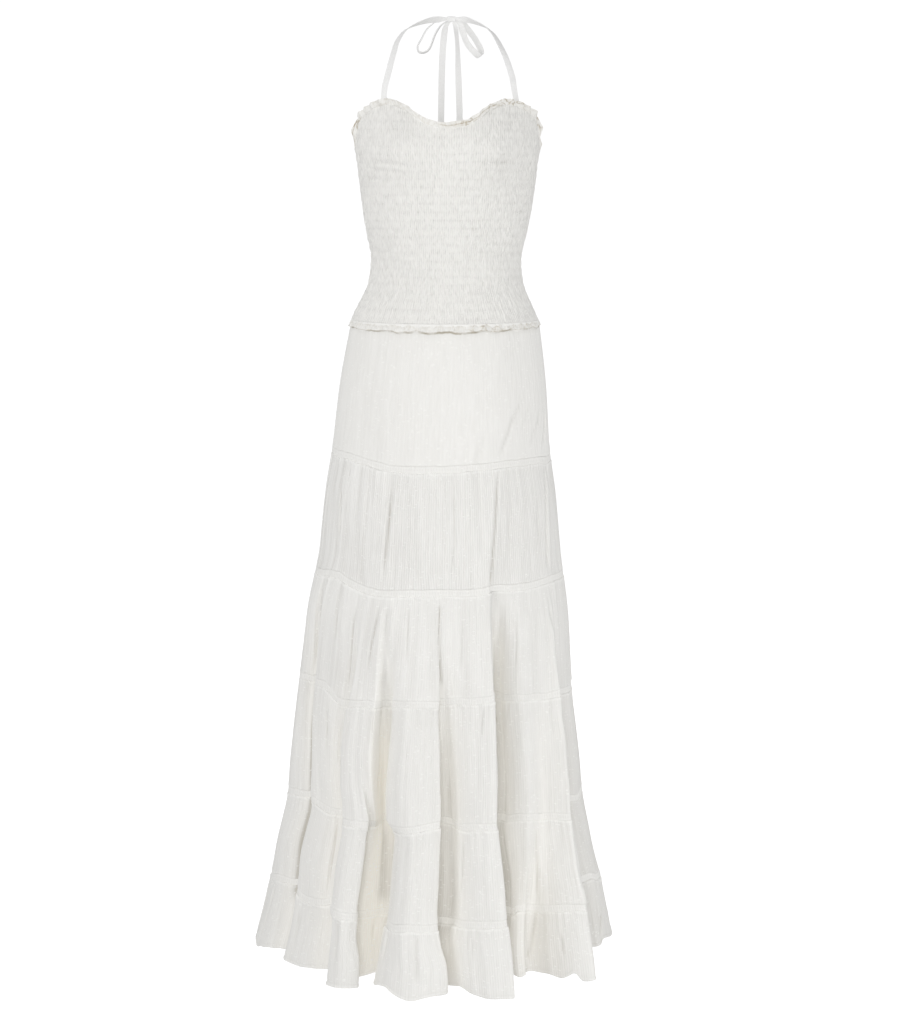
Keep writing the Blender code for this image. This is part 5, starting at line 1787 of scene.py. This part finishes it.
@dataclass
class Halter:
    """Halter straps, the bow at the nape and its two free tails."""

    form: BodiceForm
    # Degrees round the bodice at which each strap is sewn in.
    strap_roots: dict[str, float] = field(
        default_factory=lambda: {"strap_left": -45.8, "strap_right": 49.8})
    root_zs: tuple[float, float] = (-0.1500, -0.1340)  # heights of a strap's two sewn points
    root_wall: float = SMOCK_PUFF + 0.0021  # thickness of the front panel there
    strap_seat: float = 0.0011  # how far the straps lie inside the front panel
    tail_clearance: float = 0.0062  # how far the tails lie outside the back panel
    knot_centre: Way = (0.0020, 0.0032, -0.0017)  # centre of the knot
    knot_size: Way = (0.0136, 0.0104, 0.0090)  # its size
    knot_bevel: float = 0.0022  # how round its edges are

    def route(self, name: str) -> Array:
        """A tie's whole route, with a strap's root and with a tail's end laid on the back panel.

        Args:
            name: the tie's name.

        Returns:
            A row for each point of the route.
        """
        rows = np.array(ROUTES[name]) * (MM, MM, MM, 1.0, 1.0, 1.0)
        if name in self.strap_roots:
            degrees = np.array(self.strap_roots[name])
            rows[:, 3:] *= self.strap_seat
            roots = []
            for height in self.root_zs:
                way = self.form.ways(degrees, np.array(height))
                seat = self.form.plan(degrees, np.array(height))
                seat -= way * (self.root_wall + self.strap_seat)
                roots.append((*seat, height, *(way * self.strap_seat), 0.0))
            rows = np.vstack((roots, rows))
        elif name.startswith("tie_tail"):
            level = rows[-LAID:, 2]
            aside = (rows[-LAID:, 0] - Section.table.at(level, 1)) / Section.table.at(level, 0)
            degrees = 180.0 - np.degrees(np.arcsin(aside))
            rows[-LAID:, 1] = self.form.plan(degrees, level)[:, 1] + self.tail_clearance
        return rows

    def knot(self, material: Material) -> None:
        """Model the knot: a soft block, pinched along its middle where the tie crosses over.

        Args:
            material: its finish.
        """
        bpy.ops.object.select_all(action="DESELECT")
        bpy.ops.mesh.primitive_cube_add(size=1.0, location=self.knot_centre, scale=self.knot_size)
        obj = bpy.context.object
        obj.name = "bow_knot_cloth"
        bpy.ops.object.transform_apply(location=True, rotation=True, scale=True)
        bpy.ops.object.mode_set(mode="EDIT")
        bpy.ops.mesh.select_all(action="SELECT")
        bpy.ops.mesh.bevel(offset=self.knot_bevel, segments=2, profile=0.6, affect="EDGES")
        bpy.ops.object.mode_set(mode="OBJECT")
        mesh = obj.data
        put_in_order(mesh)
        bpy.ops.object.mode_set(mode="EDIT")
        bpy.ops.mesh.select_all(action="SELECT")
        bpy.ops.mesh.subdivide(number_cuts=2, smoothness=0.0)
        bpy.ops.object.mode_set(mode="OBJECT")
        subdivision = obj.modifiers.new("rounding", "SUBSURF")
        subdivision.levels = subdivision.render_levels = 1
        bpy.ops.object.modifier_apply(modifier=subdivision.name)
        points = np.empty((len(mesh.vertices), 3), np.float32)
        mesh.vertices.foreach_get("co", points.ravel())
        middle = np.array(self.knot_centre)
        offset = points - middle
        pinch = 1.0 - 0.16 * bell(offset[:, 0] - 0.0018 - 0.25 * offset[:, 2], 0.0011)
        points[:, 1:] = middle[1:] + offset[:, 1:] * pinch[:, None]
        mesh.vertices.foreach_set("co", points.ravel())
        layer = mesh.uv_layers.get("UVMap") or mesh.uv_layers.new(name="UVMap")
        layer.name = "cloth"
        numbers = np.empty(len(mesh.loops), np.int32)
        mesh.loops.foreach_get("vertex_index", numbers)
        layer.data.foreach_set("uv", points[numbers][:, [0, 2]].ravel())
        mesh.materials.append(material)
        mesh.shade_smooth()
        dress(obj)

    def build(self, material: Material) -> None:
        """Make the straps, the bow and the tails.

        Args:
            material: their finish.
        """
        ways = ((None, RIGHT), (None, LEFT), (LEFT, RIGHT), (RIGHT, LEFT), (DOWN, None), (DOWN, None))
        for seed, (name, (start, end)) in enumerate(zip(ROUTES, ways), start=31):
            Ribbon(name, self.route(name), start, end, seed).build(material)
        self.knot(material)


# ---------------- camera, floor and light
@dataclass(frozen=True)
class Lamp:
    """A round soft light."""

    name: str
    place: Way  # where it stands
    size: float  # its diameter
    power: float  # its power, in watts
    aim_z: float  # height of the point on the dress's axis that it looks at


@dataclass
class Studio:
    """A plain white studio: floor, soft light and a camera at chest height."""

    distance: float = 3.5  # from the camera to the dress's axis
    eye_z: float = -0.232  # height of the camera
    pitch: float = 8.54  # degrees that the camera looks down
    lens: float = 79.85  # focal length for a picture as tall as film
    film: float = 36.0  # height of the picture in the camera, in millimetres
    floor_z: float = -1.80  # height of the floor, well below the hem of the held dress
    floor_size: float = 80.0  # length of its sides
    floor_glow: float = 0.80  # how much the floor shines, to be as pale as the surroundings
    # Brightness of the white surroundings, as a light and as the camera sees them.
    surround: tuple[float, float] = (0.40, 1.05)
    gamma: float = 1.35  # how much the picture's middle tones are raised
    # The lamps.
    lamps: tuple[Lamp, ...] = (
        Lamp("front_light", (-0.45, -4.70, 0.10), 1.4, 45.5, -0.80),
        Lamp("left_light", (-1.9, -1.7, 0.15), 1.2, 18.5, -0.50),
        Lamp("right_light", (2.1, -1.6, -1.10), 1.2, 21.0, -1.05),
        Lamp("back_light", (0.6, 4.2, 0.40), 2.0, 40.0, -0.80),
    )

    def place(self, name: str, data: bpy.types.ID, place: Way, turn: Way) -> Object:
        """Put a camera or a lamp in its place.

        Args:
            name: the object's name.
            data: the camera or the light.
            place: where it stands.
            turn: how it is turned, in radians.

        Returns:
            The new object.
        """
        obj = bpy.data.objects.new(name, data)
        obj.location, obj.rotation_euler = place, turn
        bpy.context.scene.collection.objects.link(obj)
        return obj

    def camera(self) -> None:
        """Set the camera."""
        data = bpy.data.cameras.new("camera")
        data.lens = self.lens
        data.sensor_fit = "VERTICAL"
        data.sensor_height = self.film
        data.clip_start, data.clip_end = 0.05, 100.0
        bpy.context.scene.camera = self.place("camera", data, (0.0, AXIS_Y - self.distance, self.eye_z),
                                              (math.radians(90.0 - self.pitch), 0.0, 0.0))

    def floor(self) -> None:
        """Lay a wide, plain, pale floor."""
        bpy.ops.object.select_all(action="DESELECT")
        bpy.ops.mesh.primitive_plane_add(size=self.floor_size, location=(0.0, 0.0, self.floor_z))
        floor = bpy.context.object
        floor.name = "floor"
        material = bpy.data.materials.new("pale_floor")
        material.use_nodes = True
        NodeMaker(material.node_tree).fill(material.node_tree.nodes["Principled BSDF"], {
            "Base Color": (0.90, 0.90, 0.90, 1.0), "Roughness": 1.0, "Specular IOR Level": 0.0,
            "Emission Color": (1.0, 1.0, 1.0, 1.0), "Emission Strength": self.floor_glow})
        floor.data.materials.append(material)
        floor.visible_diffuse = False

    def light(self) -> None:
        """Set the white surroundings and the lamps."""
        world = bpy.data.worlds.new("studio")
        bpy.context.scene.world = world
        world.use_nodes = True
        maker, nodes = NodeMaker(world.node_tree), world.node_tree.nodes
        white = (1.0, 1.0, 1.0, 1.0)
        soft = maker.fill(nodes["Background"], {"Color": white, "Strength": self.surround[0]})
        bright = maker.add("Background", {"Color": white, "Strength": self.surround[1]})
        seen = maker.add("LightPath", {}).outputs["Is Camera Ray"]
        mix = maker.add("MixShader", {"Fac": seen, 1: soft.outputs[0], 2: bright.outputs[0]})
        maker.fill(nodes["World Output"], {"Surface": mix.outputs[0]})
        for lamp in self.lamps:
            data = bpy.data.lights.new(lamp.name, "AREA")
            data.shape = "DISK"
            data.size, data.energy = lamp.size, lamp.power
            away = np.array((0.0, AXIS_Y, lamp.aim_z)) - lamp.place
            tilt = math.atan2(math.hypot(away[0], away[1]), -away[2])
            turn = (tilt, 0.0, math.atan2(-away[0], away[1]))
            self.place(lamp.name, data, lamp.place, turn)

    def build(self) -> None:
        """Set up the whole studio."""
        self.camera()
        self.floor()
        self.light()
        view = bpy.context.scene.view_settings
        view.view_transform, view.look = "Standard", "None"
        view.exposure, view.gamma = 0.0, self.gamma


def main() -> None:
    """Build the studio and every piece of the dress."""
    logging.basicConfig(level=logging.INFO, format="%(name)s: %(message)s")
    Studio().build()
    finishes = {name: finish.build() for name, finish in FINISHES.items()}
    Skirt().build(finishes)
    form = BodiceForm()
    Bodice(form).build(finishes["smocked"])
    for frill in (
            Frill("top_frill", form, 0.0098, False, 0.0190, 0.0030, 0.0010, 0.0011, 1.1, 51),
            Frill("hip_frill", form, HIP_FRILL_HEIGHT, True, 0.0210, 0.0020, 0.0024, 0.0013, 0.55, 61)):
        frill.build(finishes["frill"])
    Halter(form).build(finishes["tie"])


if __name__ == "__main__":
    main()
